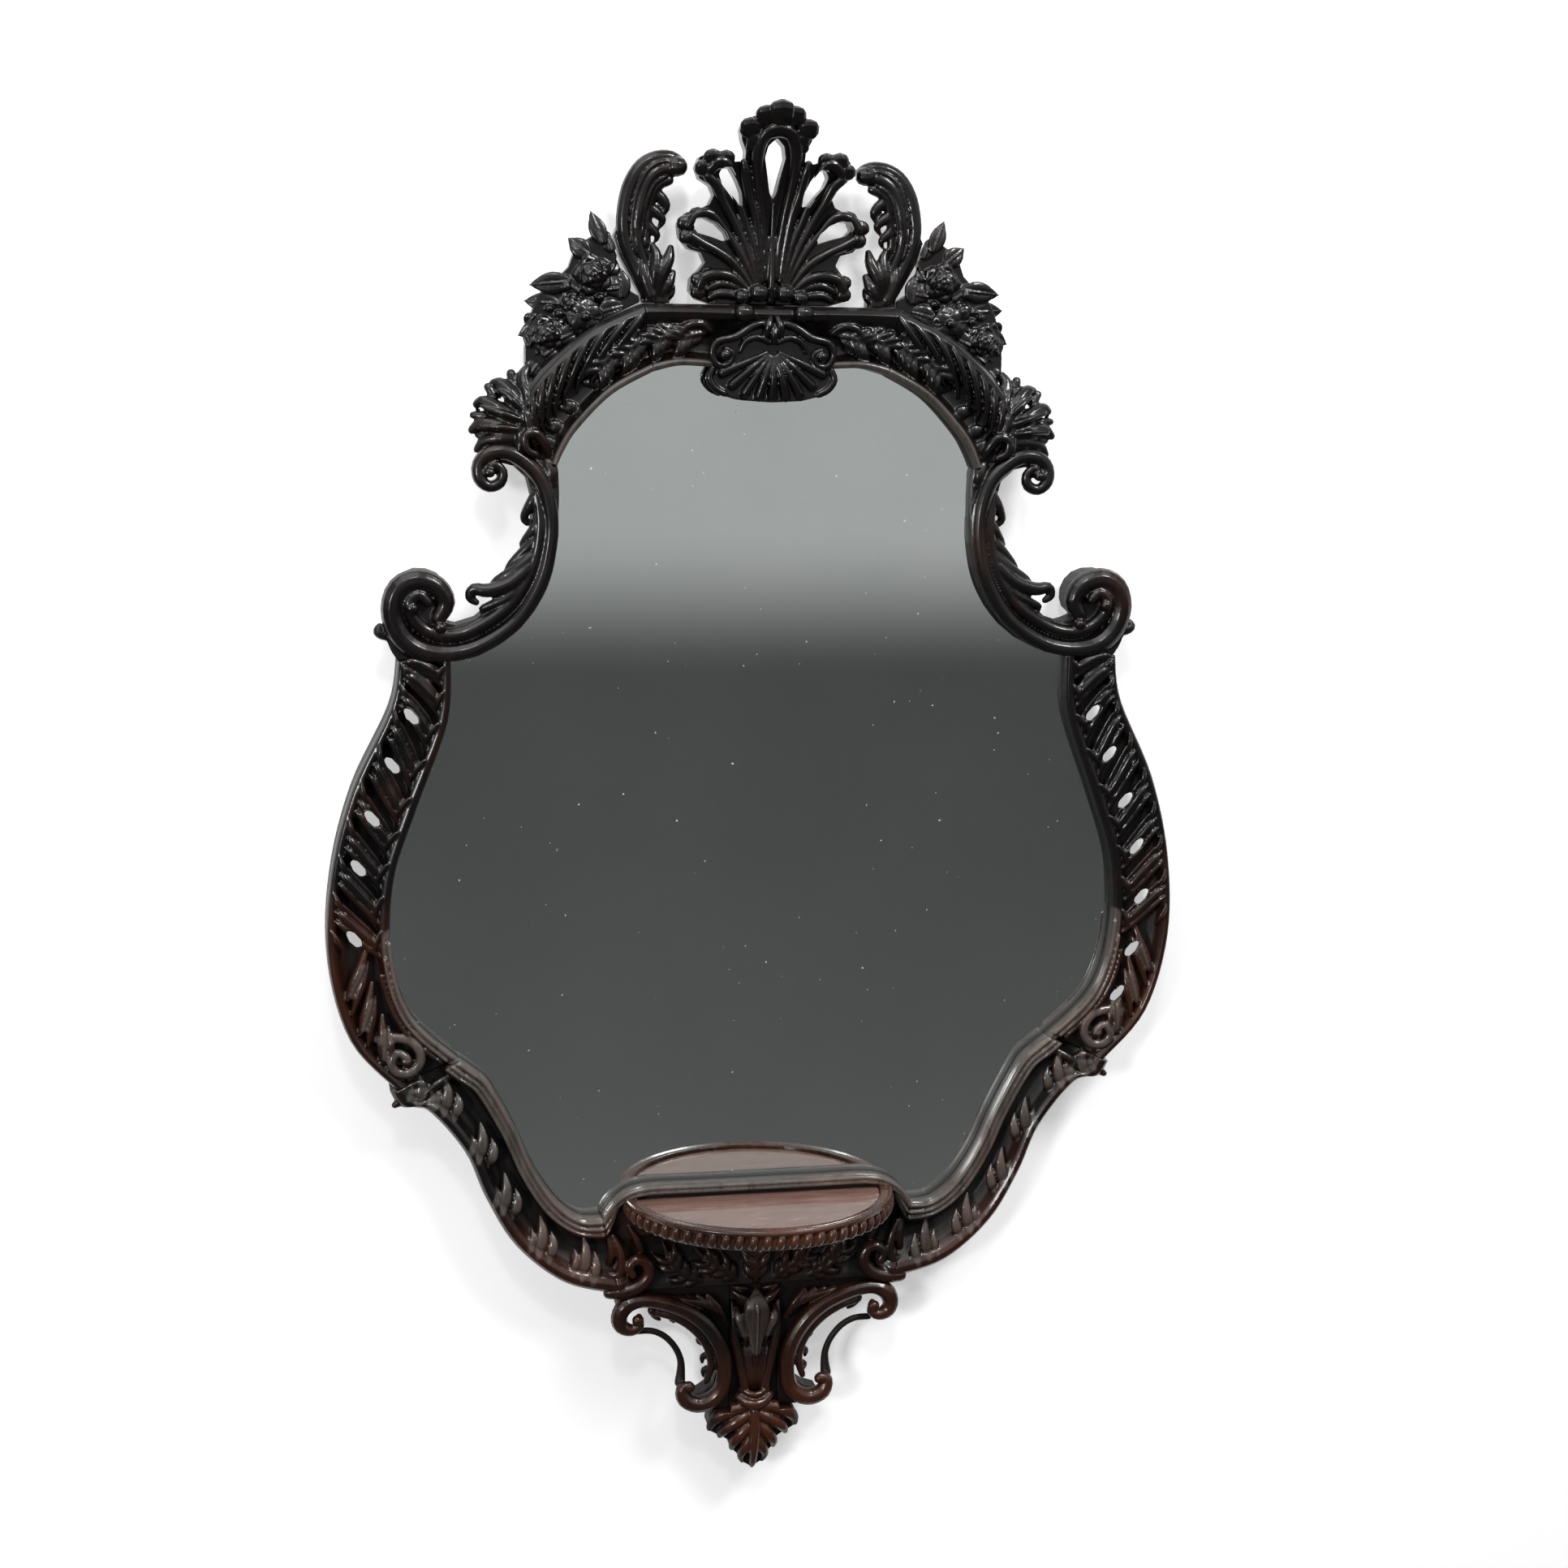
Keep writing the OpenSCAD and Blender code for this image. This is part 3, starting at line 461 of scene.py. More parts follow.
class Rail:
    """A board of the frame, between its edge along the glass and its outer edge."""

    def __init__(self, inner, outer):
        self.inner = smooth(inner, 6)
        self.outer = smooth(outer, 6)

    def at(self, t, f):
        i = min(max(t, 0), 1)*(len(self.inner) - 1)
        k = min(int(i), len(self.inner) - 2)
        a = self.inner[k] + (self.inner[k + 1] - self.inner[k])*(i - k)
        b = self.outer[k] + (self.outer[k + 1] - self.outer[k])*(i - k)
        return a + (b - a)*f

    def point(self, t, f, out, r):
        return (*self.at(t, f), out, r)

    def body(self, forms, section, end=None, share=None):
        """Lofts a section of part of the width and distance from the wall, with its rebates behind."""
        sections = []
        for a, b in zip(self.inner, self.outer):
            w = np.linalg.norm(b - a)
            shape = np.array(section, float)
            if end:
                k = min(max(share(a[0]), 0), 1)
                shape = shape*(1 - k) + np.array(end)*k
            steps = [(1, back_face), (board_lap/w, back_face), (board_lap/w, board_seat),
                (glass_lap/w, board_seat), (glass_lap/w, glass_seat)]
            loop = [(0, glass_seat)] + [tuple(q) for q in shape] + steps
            sections.append([(*(a + (b - a)*f), d) for f, d in loop])
        forms.loft(sections)

    def lip(self, wide):
        """Spots along the reeded lip, where it is painted pale as a highlight, partly over rubbed wear."""
        return [(*self.at(t, 0), wide) for t in np.linspace(0, 1, 70)]

    def line(self, forms, f, out, r, t0, t1, n):
        """A bead that follows the board at one part of its width."""
        forms.stroke([self.point(t, f, out, r) for t in np.linspace(t0, t1, n)], n=1)

    def stroke(self, forms, start, *points, flat=1):
        """A stroke whose points are laid out along the board from a starting place."""
        forms.stroke([self.point(start + t, f, out, r) for t, f, out, r in points], flat)


def acanthus(forms, spine, wide, lobes, r):
    """A leaf along its spine, with pairs of pointed lobes that fall away from the rib."""
    p = smooth(spine, 6)
    last = len(p) - 1
    for i in range(lobes):
        k = int(last*(0.06 + 0.8*i/lobes))
        ahead = unit(p[min(k + 2, last)][:2] - p[k][:2])
        side = np.array((-ahead[1], ahead[0]))
        size = wide*sin(pi*(0.3 + 0.5*i/lobes))
        for s in (-1, 1):
            a = p[k][:2]
            b = a + ahead*size*0.5 + side*s*size*0.5
            c = a + ahead*size*1.05 + side*s*size*0.78
            forms.stroke([(*a, p[k][2], r*0.8), (*b, p[k][2] + 0.8, r*1.1), (*c, p[k][2] - 3.4, r*0.4)])
    sizes = np.interp(np.arange(last + 1)/last, (0, 0.5, 1), (r*1.1, r, r*0.4))
    forms.stroke([(*q, size) for q, size in zip(p, sizes)], n=1)


low_section = [(0, 40), (0.02, 42.5), (0.06, 43), (0.095, 40), (0.13, 43), (0.165, 40), (0.2, 42.5),
    (0.245, 40), (0.265, 33), (0.3, 27.5), (0.4, 26), (0.53, 28), (0.68, 34), (0.78, 41), (0.85, 43.5),
    (0.93, 42.5), (0.98, 39), (1, 35)]


# Bottom rail. A straight board under the glass that carries the shelf; its face is plain where the
# shelf stands against it, with a triple reeded lip along the glass and leaf tips at both ends.
bottom = Rail(across([(0, 277), (52, 277), (104, 276.5), (127, 266), (139, 250)]), across([(0, 178),
    (45, 178), (90, 178), (107, 178), (124, 178)]))
forms = Carving()
shelf_seat = [(0, 38), (0.012, 40.5), (0.032, 40.8), (0.042, 39.2), (0.052, 40.6), (0.068, 40.2),
    (0.076, 36), (0.082, 33.9), (0.2, 33.9), (0.3, 33.9), (0.46, 33.5), (0.5, 31), (0.58, 28), (0.7, 27),
    (0.84, 28), (0.9, 29), (0.94, 31), (1, 32)]
bottom.body(forms, shelf_seat, low_section, lambda x: (abs(x) - 122)/14)
for f, out in ((0.02, 40.6), (0.056, 40.6), (0.012, 29.5), (0.012, 35.5)):
    bottom.line(forms, f, out, 1.9, 0.03, 0.97, 60)
for s in (-1, 1):
    acanthus(forms, [(s*50, 184, 29), (s*66, 192, 32), (s*78, 206, 33), (s*84, 222, 31)], 16, 4, 3.2)
    acanthus(forms, [(s*18, 184, 29), (s*30, 194, 32), (s*44, 202, 32), (s*56, 216, 30)], 15, 4, 3.2)
forms.pair([(132, 180, 36, 6), (118, 181, 38, 6.6), (105, 186, 38, 6.4), (97, 196, 38, 6),
        (100, 207, 38, 5.4), (109, 210, 39, 5), (115, 204, 40, 4.4), (112, 197, 41, 3.6)],
    [(134, 196, 34, 4), (124, 197, 37, 4.4), (121, 208, 38, 4.2), (124, 222, 37, 3.4), (129, 232, 35, 2)],
    [(132, 206, 32, 3.6), (130, 218, 36, 4), (133, 232, 35, 2.4)],
    [(104, 216, 33, 3.4), (108, 228, 35, 3.6), (114, 238, 34, 2.2)])
acanthus(forms, [(0, 182, 31), (0, 200, 35), (0, 216, 35), (0, 228, 34)], 17, 4, 3.4)
# The reeded lip is painted pale as a highlight, partly over rubbed wear.
carve("bottom_rail_carving", "bottom_rail", forms, spots=bottom.lip(10.5))


# Lower rails. The S-shaped boards that run up from the shelf to the ears, with the triple reeded lip
# along the glass, a deep hollow, flame-shaped leaf tips and a plain red-worn outer roll.
low = Rail([(262, 398), (250, 389), (236, 375), (215, 335), (199, 298), (179, 267), (158, 251),
    (139, 250)], [(321, 372.4), (312, 359), (290, 355), (258, 316), (240, 273), (214, 228), (172, 192),
    (124, 178)])
forms = Carving()
low.body(forms, low_section)
for f, out in ((0.045, 41.5), (0.13, 41.5), (0.215, 41.5), (0.025, 29.5), (0.025, 35.5)):
    low.line(forms, f, out, 2.1, 0.03, 0.98, 30)
# The lip and the flame-shaped leaf tips are painted pale as a highlight, partly over rubbed wear.
low_highlights = low.lip(13)
for t, tall in ((0.17, 24), (0.31, 31), (0.46, 33), (0.62, 34), (0.77, 35), (0.9, 38)):
    x, z = low.at(t, 0.8)
    for dx, dz, share, r in ((0, -3, 1, 5.8), (-9.5, -8, 0.72, 5), (8, 2, 0.55, 4)):
        a, b, high = x + dx, z + dz, tall*share
        blade = [(a + 2, b, 34, r*0.5), (a - 0.6, b + high*0.3, 38.6, r),
            (a - 2.4, b + high*0.66, 38.6, r*0.8), (a - 0.6, b + high, 35, r*0.25)]
        forms.stroke(blade, 0.6)
        low_highlights += [(*q[:2], q[3]*0.9) for q in smooth(blade, 5)]
for t in (0.12, 0.2):
    low.stroke(forms, t, (0.05, 0.5, 33, 2), (0, 0.6, 37, 3.2), (-0.06, 0.66, 35, 1.4))
forms.strokes([(288, 360, 30, 6), (300, 363, 33, 6), (311, 363.5, 35, 4.5), (317, 361, 37, 3)],
    [(286, 372, 34, 4), (294, 380, 38, 4), (304, 378, 38, 3)],
    [(270, 384, 34, 4), (283, 377, 38, 4.4), (296, 366, 39, 3.4), (306, 362, 38, 2)])
carve_both("lower_rail_carving", "lower_rail", forms, spots=low_highlights)


# Side rails. The bowed boards beside the glass, pierced with small tilted holes between slanting
# leaf strokes, with a plain inner edge and a plain outer roll that ends below in an ear-shaped scroll.
flank = Rail([(267, 742), (270, 690), (296, 618), (316, 556), (318, 490), (302, 437), (262, 398)],
    [(311, 742), (318, 702), (350, 634), (368.4, 562), (371.8, 488), (354, 419), (316, 374.6)])
ear = [(330, 420, 36, 5), (318, 421, 37, 5), (304, 418, 38, 5), (296, 409, 39, 5), (296, 398, 39, 5),
    (304, 390, 39, 5), (315, 391, 40, 4.5), (320, 400, 41, 4), (314, 408, 41, 3.5), (307, 404, 42, 3.5)]


def side_rail(name, node, holes, lean, on_left):
    forms = Carving()
    flank.body(forms, [(0, 36), (0.03, 39), (0.1, 39.5), (0.16, 38), (0.21, 33), (0.3, 30), (0.5, 30),
        (0.66, 31), (0.77, 35), (0.84, 40), (0.9, 43), (0.96, 42), (0.99, 39), (1, 35)])
    forms.stroke(ear)
    forms.ball(307, 400, 41, 5)
    # The lip, the ear scroll and the leaves among the upper holes are painted pale as a highlight, partly
    # over rubbed wear.
    rubbed = [(*flank.at(t, 0), 8) for t in np.linspace(0.62, 1, 40)]
    rubbed += [(*q[:2], 4.4) for q in smooth(ear, 5)]
    rubbed += [(*flank.at(t + 0.055*k, 0.45 + 0.25*k), 4) for t in (0.68, 0.76, 0.84)
        for k in np.linspace(0, 1, 6)]
    for f in (0.03, 0.12, 0.21):
        flank.line(forms, f, 40.5, 2, 0.62 + f*0.4, 0.97, 16)
    for t in np.linspace(0.02, 0.6, 9):
        for shift, r in ((0, 3.8), (0.02, 2.8), (-0.02, 2.2)):
            flank.stroke(forms, t + shift, (0.045, 0.19, 35, r*0.6), (0.022, 0.34, 38, r),
                (-0.004, 0.56, 39, r*1.1), (-0.026, 0.75, 41.5, r*0.9), (-0.034, 0.84, 42, r*0.4))
        flank.stroke(forms, t, (0.01, 0.17, 38.5, 1.6), (0.03, 0.24, 38.5, 2.6), (0.052, 0.28, 37, 1.6))
        flank.stroke(forms, t, (0.004, 0.9, 42, 1.6), (0.022, 0.82, 42.4, 2.7), (0.042, 0.74, 39, 1.4))
    for t in (0.66, 0.74, 0.82):
        for shift, r in ((0, 4.2), (0.032, 3)):
            flank.stroke(forms, t + shift, (-0.02, 0.38, 37, r*0.5), (0.02, 0.5, 40.5, r),
                (0.055, 0.66, 41, r), (0.085, 0.8, 41, r*0.4))
    cuts = Carving()
    for x, z in holes:
        rim = [(-5.6, -5), (-1.6, -6), (3.4, -1.4), (6, 4.4), (4.4, 6.6), (0, 5), (-5, -0.8)]
        face, thick, drop = 33, 29, 6
        rings = []
        for out, wide in ((60, 1.8), (face, 1.05), (4, 2)):
            deep = (face - out)/thick
            rings.append([(x + u*wide + lean*deep, z + v*wide - drop*deep, out) for u, v in rim])
        cuts.loft(rings)
    piece = carve(name, node, forms, cuts, spots=rubbed)
    if on_left:
        flip(piece)


side_rail("side_rail_carving_right", "side_rail_right", [(294, 690), (311, 653), (328, 611), (340, 569),
    (347, 523), (340, 475), (328, 434)], 8, False)
side_rail("side_rail_carving_left", "side_rail_left", [(300, 695), (316, 654), (333, 609), (345, 567),
    (349, 506)], 0, True)


# Shoulders. A long C-shaped scroll on each side runs from a small eye past the glass into the big
# volute; a groove parts its two rolls, and leaves curl off its open side.
forms = Carving()
forms.strokes([(236, 897, 38, 4), (231, 904, 38, 3.5), (224, 898, 38, 4), (226, 889, 37, 5),
        (235, 885.5, 37, 5), (243, 892, 37, 5.5), (243, 904, 36, 6), (234, 912.5, 36, 6.5),
        (220, 913.5, 36, 7), (206, 906, 36, 7), (193, 892, 36, 7), (186, 872, 36, 7),
        (184, 852, 36, 6.6), (186, 832, 36, 6.6), (191, 811, 36, 7), (200, 792, 36, 7),
        (213, 774, 36, 7), (231, 760, 36, 7.2), (252, 750, 36, 8), (275, 747, 36, 9),
        (296, 752, 36, 9.5), (310, 766, 36, 9.5), (315, 785, 37, 9.5), (309, 802, 37, 10),
        (294, 809, 37, 9.5), (278, 803, 37, 9), (271, 790, 37, 8), (277, 778, 38, 6.5)],
    [(196, 880, 35, 4), (193, 858, 36, 5), (195, 836, 36, 5), (201, 815, 36, 5.4), (211, 797, 36, 5.6),
        (224, 783, 36, 5.6), (240, 772, 36, 5.6), (258, 764, 37, 5.6), (276, 763, 38, 5.6),
        (290, 769, 38, 5.6), (299, 779, 39, 6), (301, 791, 40, 6), (293, 797, 40, 5.5),
        (286, 791, 41, 4.5)])
forms.slab([(178, 903), (177, 880), (177.5, 860), (179, 838), (183, 819), (189, 801), (198, 785),
    (211, 769), (226, 757), (246, 747), (267, 742), (311, 742), (316, 750), (320, 760), (322, 772),
    (322, 784), (319.5, 796), (314, 805.5), (306, 812.5), (296, 816.5), (286, 816), (277, 812.5),
    (270.5, 806), (267, 798), (266.5, 790), (269, 782), (276, 776), (268, 772.5), (262, 771), (246, 776),
    (232, 788), (218, 800), (206, 822), (200, 846), (198, 872), (203, 892), (214, 902), (226, 905),
    (216, 915)], 8, 34)
forms.ball(299, 786, 43, 5)
forms.ball(235, 897, 40, 4.4)
forms.ball(276, 770, 42, 4.6)
forms.stroke([(310, 766, 30, 6), (320, 763, 31, 5), (326, 766, 32, 4.6), (325, 770, 32, 3)])
forms.strokes([(192, 884, 32, 6), (200, 872, 34, 5), (206, 860, 30, 3.4), (203, 855, 29, 2.6)],
    [(190, 862, 34, 5.5), (198, 850, 35, 5), (207, 838, 30, 3), (205, 833, 29, 2)],
    [(192, 846, 34, 5.5), (204, 834, 34, 5), (216, 822, 31, 3.6), (221, 815, 30, 2)],
    [(197, 830, 35, 5.5), (212, 818, 36, 5), (228, 808, 33, 4), (234, 800, 31, 3)],
    [(202, 820, 36, 6), (218, 806, 38, 6), (236, 800, 37, 6), (248, 801, 35, 5), (251, 794, 34, 4),
        (246, 790, 34, 3)],
    [(206, 806, 36, 5.5), (220, 794, 37, 5), (233, 788, 35, 4), (241, 784, 33, 3), (238, 779, 32, 2)],
    [(186, 905, 32, 6), (183, 897, 34, 6), (184, 890, 34, 4.5), (181, 888, 33, 3)],
    flat=0.9)
cuts = Carving()
cuts.hole([(170, 912), (178.5, 903), (176.2, 880), (176, 860), (177.5, 838), (181.4, 819), (187.6, 800),
    (196.8, 784), (210, 768), (225.5, 755.5), (245.6, 745.5), (266, 741), (266, 730), (150, 730),
    (150, 912)])
cuts.slab([(170, 918), (184.5, 905), (182.2, 880), (182, 860), (183.5, 838), (187.4, 821), (193.5, 803),
    (202, 788), (214, 773), (229, 761), (248, 751.5), (270, 748), (270, 730), (150, 730),
    (150, 918)], 0, 23.9)
cuts.box(100, 700, 400, 741.8)
carve_both("shoulder_carving", "shoulder", forms, cuts)


# Top rail. The straight middle board of the arch over the glass: a hollow with leaves between the outer
# roll and the bead along the glass, painted pale as a highlight over rubbed wear, and a pair of small balls
# under the crest.
arch = [(0, 37), (0.02, 40), (0.07, 41.2), (0.12, 39.5), (0.16, 34), (0.22, 30), (0.34, 29), (0.48, 30),
    (0.6, 33), (0.7, 36.5), (0.79, 40.5), (0.87, 42.5), (0.94, 40), (1, 35)]


def hollow_leaves(forms, rail, places, reach):
    """Leaves that follow one another along the hollow, each one bending towards the glass."""
    for t in places:
        spine = [(*rail.at(t + reach*k, f), out)
            for k, f, out in ((0, 0.54, 33), (0.35, 0.5, 36.5), (0.7, 0.42, 37), (1, 0.34, 34))]
        acanthus(forms, spine, 18, 5, 2.9)


forms = Carving()
crown = Rail(across([(0, 980), (30, 983), (60, 985.5), (80, 985.5), (100, 980.5)]), across([(0, 1036),
    (27, 1036), (54, 1036), (81, 1036), (108, 1036)]))
crown.body(forms, arch)
for way in (-1, 1):
    hollow_leaves(forms, crown, [0.5 + way*0.25, 0.5 + way*0.36], way*0.15)
forms.pair([(52, 1014, 33, 3), (60, 1020, 37, 3.6), (72, 1018, 38, 3.4), (78, 1008, 37, 3),
        (72, 1001, 36, 2.6)])
for x in (-25, 25):
    forms.ball(x, 1029.6, 42, 7.8)
carve("crown_carving", "top_rail_centre", forms, spots=crown.lip(6))


# Arms of the arch. Two curved boards carry the hollow on to the shoulders: long leaves sweep into it
# from the outer roll, and a fan of leaves spreads from each lower end.
arm = Rail([(100, 980.5), (134, 961.5), (162, 933), (173, 916), (179, 902.9)],
    [(108, 1036), (152, 1015), (190, 983), (213, 950), (216, 915)])
forms = Carving()
arm.body(forms, arch)
hollow_leaves(forms, arm, [0.0, 0.13], 0.2)
for t in np.linspace(0.02, 0.72, 9):
    arm.stroke(forms, t, (0, 0.86, 41, 1.8), (0.05, 0.76, 41.6, 3), (0.12, 0.62, 39.6, 3),
        (0.19, 0.47, 35, 1.2))
    arm.stroke(forms, t, (0.04, 0.66, 38, 1.6), (0.09, 0.52, 35.5, 2.4), (0.13, 0.38, 31.5, 1.2))
for t in (0.3, 0.47, 0.64, 0.8):
    arm.stroke(forms, t, (-0.02, 0.17, 31, 2.4), (0, 0.28, 31, 6), (0.05, 0.4, 30, 3), flat=0.45)
arm.stroke(forms, 0, (0.93, 0.2, 33, 3), (0.84, 0.32, 38, 4), (0.8, 0.55, 41, 4.5), (0.86, 0.75, 42, 4),
    (0.94, 0.7, 42, 3.5), (0.95, 0.5, 41, 3))
forms.strokes([(196, 940, 28, 9), (203, 960, 31, 8), (206, 974, 28, 6), (203, 981, 26, 4)],
    [(200, 938, 30, 9), (214, 957, 33, 7.6), (224, 968, 29, 6), (230, 969, 27, 4)],
    [(204, 934, 31, 9), (223, 946, 34, 7.4), (238, 954, 30, 5.6), (244, 952, 28, 3.8)],
    [(206, 930, 31, 9), (226, 935, 34, 7), (241, 936, 30, 5.4), (248, 931, 28, 3.6)],
    [(206, 926, 31, 9), (224, 925, 33, 6.4), (238, 922, 29, 4.8), (244, 915, 27, 3)],
    [(214, 966, 28, 4), (216, 977, 26, 4)],
    [(230, 958, 29, 4), (235, 966, 27, 3.6)],
    [(238, 943, 29, 4), (247, 943, 27, 3.2)],
    [(232, 926, 29, 4), (243, 927, 27, 3)],
    [(200, 946, 38, 2), (205, 960, 39, 2.4), (207, 972, 33, 1.6)],
    [(204, 944, 39, 2), (216, 956, 41, 2.4), (227, 964, 35, 1.6)],
    [(206, 939, 40, 2), (223, 945, 42, 2.4), (240, 950, 35, 1.6)],
    [(208, 932, 40, 2), (225, 934, 41, 2.4), (243, 934, 34, 1.6)])
# The bead along the glass is painted pale as a highlight, partly over rubbed wear.
carve_both("arm_carving", "top_rail", forms, spots=arm.lip(6))


# Apron scrolls. Pierced scrolls under the bottom rail, each one closed by a thin strand that runs
# from the upper volute down to the lower one, with small serrations on the inner edge.
forms = Carving()
forms.strokes([(106, 157, 39, 3), (105, 149, 39, 4), (112, 144.5, 38, 5.5), (121, 148, 37, 7),
        (123.5, 157, 37, 7.5), (118, 167, 37, 8), (106, 171, 37, 6.6), (92, 170, 37, 7),
        (77, 166, 38, 7.4), (62, 159, 38, 7.6), (48, 148, 39, 7.6), (37, 133, 39, 7.4),
        (30, 116, 39, 7.2), (28.5, 99, 38, 7), (31, 83, 37, 7.4), (40, 72.5, 36, 8), (52, 69, 35, 8),
        (63, 74, 35, 7.5), (66, 84, 35, 6), (60, 88, 36, 4)],
    [(106, 138, 26, 3), (93, 138, 27, 3), (81, 132, 27, 3), (71.5, 121, 27, 3), (66.5, 109, 27, 3.2),
        (66, 98, 27, 4), (67, 88, 28, 5)],
    [(90, 158, 34, 3.5), (76, 154, 35, 4), (62, 146, 35, 4.4), (50, 134, 35, 4.4), (42, 119, 35, 4),
        (40, 104, 35, 3.6), (44, 90, 34, 3)])
forms.slab([(22, 60), (22, 178), (124, 178), (124, 160), (104, 164), (84, 160), (62, 151), (44, 136),
    (35, 118), (33, 100), (37, 84), (48, 76), (60, 72), (56, 62), (48, 60)], 8, 28)
forms.strokes([(72, 158, 34, 4), (76, 151, 31, 3), (73, 146, 29, 1.6)],
    [(58, 150, 34, 4), (61, 142, 31, 3), (57, 138, 29, 1.6)],
    [(46, 134, 34, 4), (51, 128, 31, 3), (48, 123, 29, 1.6)],
    [(40, 116, 34, 4), (47, 112, 31, 3), (47, 106, 29, 1.6)],
    [(40, 102, 34, 4), (46, 99, 31, 3), (46, 93, 29, 1.4)],
    [(94, 160, 34, 4), (90, 153, 31, 3), (86, 149, 29, 1.6)])
for k in range(5):
    forms.stroke([(27 + 4*k, 146 + 4*k, 34, 2.4), (34 + 6*k, 160 + 2*k, 38, 3.2), (44 + 9*k, 172, 36, 2.4)])
forms.ball(60, 86, 36, 5)
forms.ball(107, 154, 40, 5)
cuts = Carving()
cuts.box(20, 178.2, 160, 220)
cuts.box(-20, 20, 22.2, 220)
carve_both("apron_scroll_carving", "apron_scroll", forms, cuts, grain=1.1)


# Apron drop. A long three-ribbed leaf tapers down to a ring, and pointed leaves close the frame at
# its lowest tip.
forms = Carving()
forms.slab(across([(0, 1), (8, 6), (12, 13), (20, 21), (20, 27), (27, 32), (38, 38), (41, 44), (40, 53),
    (36, 59), (22, 60), (22, 178)]), 8, 27)
forms.stroke([(0, 130, 26, 13), (0, 116, 30, 15), (0, 102, 32, 13), (0, 90, 32.5, 10.5),
    (0, 82, 31, 7)], 0.4)
forms.stroke([(0, 177, 35, 0.8), (0, 172, 37, 4), (0, 166, 38.5, 8.6), (0, 158, 39.5, 12.5),
    (0, 148, 39.5, 12), (0, 136, 39.5, 8.6), (0, 122, 39, 5.4), (0, 108, 38, 3), (0, 95, 36, 1)], 0.5)
forms.stroke([(0, 170, 40.5, 0.8), (0, 156, 46, 1.3), (0, 136, 44.5, 1.3), (0, 112, 40.5, 0.9)])
# The long leaf and the small leaves beside it are painted pale, partly a paler wood and partly a painted
# highlight.
drop_highlights = [(0, z, reach) for z, reach in ((166, 9), (160, 12), (152, 12.5), (144, 11), (136, 9),
    (128, 7.5), (120, 6))]
drop_highlights += [(s*(17 - 0.35*k), 152 - k, 4) for s in (-1, 1) for k in range(0, 20, 2)]
forms.pair([(22, 160, 30, 4), (21, 142, 34, 4.6), (16.5, 118, 35, 4.6), (12, 96, 35, 4.4),
        (8.5, 80, 34, 4)],
    [(5, 160, 34, 3), (13, 168, 38, 3.8), (21, 174, 36, 1.6)],
    [(8, 174, 32, 2.4), (14, 176, 34, 2.4), (20, 177, 32, 1.6)],
    [(17, 158, 34, 1.6), (16, 148, 38.5, 4.4), (11.5, 136, 37, 3), (8, 122, 35, 1.6)],
    [(6, 62, 33, 5), (18, 62, 35, 6), (30, 56, 33, 6.4), (37, 49, 30, 5), (39, 42, 27, 3.4)],
    [(5, 56, 35, 5), (16, 50, 36, 5.6), (26, 42, 33, 5), (30, 35, 29, 3)],
    [(4, 46, 35, 5), (12, 38, 36, 5.4), (18, 29, 33, 4.6), (19, 22, 29, 2.6)],
    [(3, 34, 35, 4.4), (8, 24, 35, 4.6), (11, 15, 31, 3.6), (9, 8, 28, 2)])
forms.strokes([(0, 60, 37, 5), (0, 44, 39, 5), (0, 24, 37, 4.4), (0, 9, 32, 3.4),
        (0, 2.6, 28, 2)], across([(0, 68, 41, 4.6), (7, 69, 39, 4.6),
        (14, 73, 34, 4)]), across([(0, 76, 40, 3), (12, 80, 34, 2.6)]))
cuts = Carving()
cuts.box(-60, 178.2, 60, 220)
cuts.box(-60, 60.5, -22.2, 200)
cuts.box(22.2, 60.5, 60, 200)
carve("apron_drop_carving", "apron_drop", forms, cuts, grain=1.1, spots=drop_highlights)


# Crest shell. The tallest carving stands on the middle of the rail and leans into the room: plumes
# spread from two pairs of beads, each with raised edges, a scalloped tip and a drop-shaped hole.
def crest_bend(z):
    root, reach, lean = 1080, 120, 36
    return lean*(max(z - root, 0)/reach)**2


def plume(forms, root, path, *tips):
    """Plume edges on both halves, from the root along a path, with rounded lobes at the scalloped tip."""
    r = 3.4
    forms.pair([(*root, 27, r*0.8)] + [(x, z, out, r*k) for x, z, out, k in path])
    for x, z, size in tips:
        for s in (-1, 1):
            forms.ball(s*x, z, 28, size, 0.75)


forms = Carving()
forms.slab(across([(0, 1036.4), (50, 1036.4), (62, 1040), (68, 1047), (67, 1057), (60, 1064), (55, 1070),
    (58, 1078), (68, 1081), (75, 1090), (76, 1102), (70, 1110), (58, 1114), (52, 1117), (49, 1125),
    (53, 1132), (62, 1137), (66, 1146), (63, 1154), (54, 1158), (43, 1156), (34, 1151), (25, 1152),
    (25, 1160), (29, 1168), (31, 1177), (27, 1184), (20, 1187), (14, 1190), (7, 1192), (0, 1192)]), 8, 24)
plume(forms, (4, 1058), [(6, 1086, 29, 0.9), (10, 1112, 30, 1), (15, 1138, 30, 1.2), (16, 1158, 30, 1.5),
    (11, 1172, 30, 1.6), (0, 1176, 30, 1.6)], (24, 1177, 8.5), (19, 1168, 7), (12, 1186.4, 8.6),
    (21, 1163, 5))
plume(forms, (8, 1056), [(11, 1084, 29, 1), (15, 1108, 30, 1.1), (21, 1126, 30, 1.1), (25, 1142, 30, 1.2),
    (27, 1150, 29, 1)])
plume(forms, (10, 1054), [(16, 1084, 29, 1), (24, 1106, 30, 1), (33, 1128, 30, 1.1), (40, 1147, 30, 1.4),
    (49, 1149, 30, 1.5), (55, 1143, 30, 1.3)], (42, 1153, 7), (53, 1153, 7.5), (60, 1145, 7))
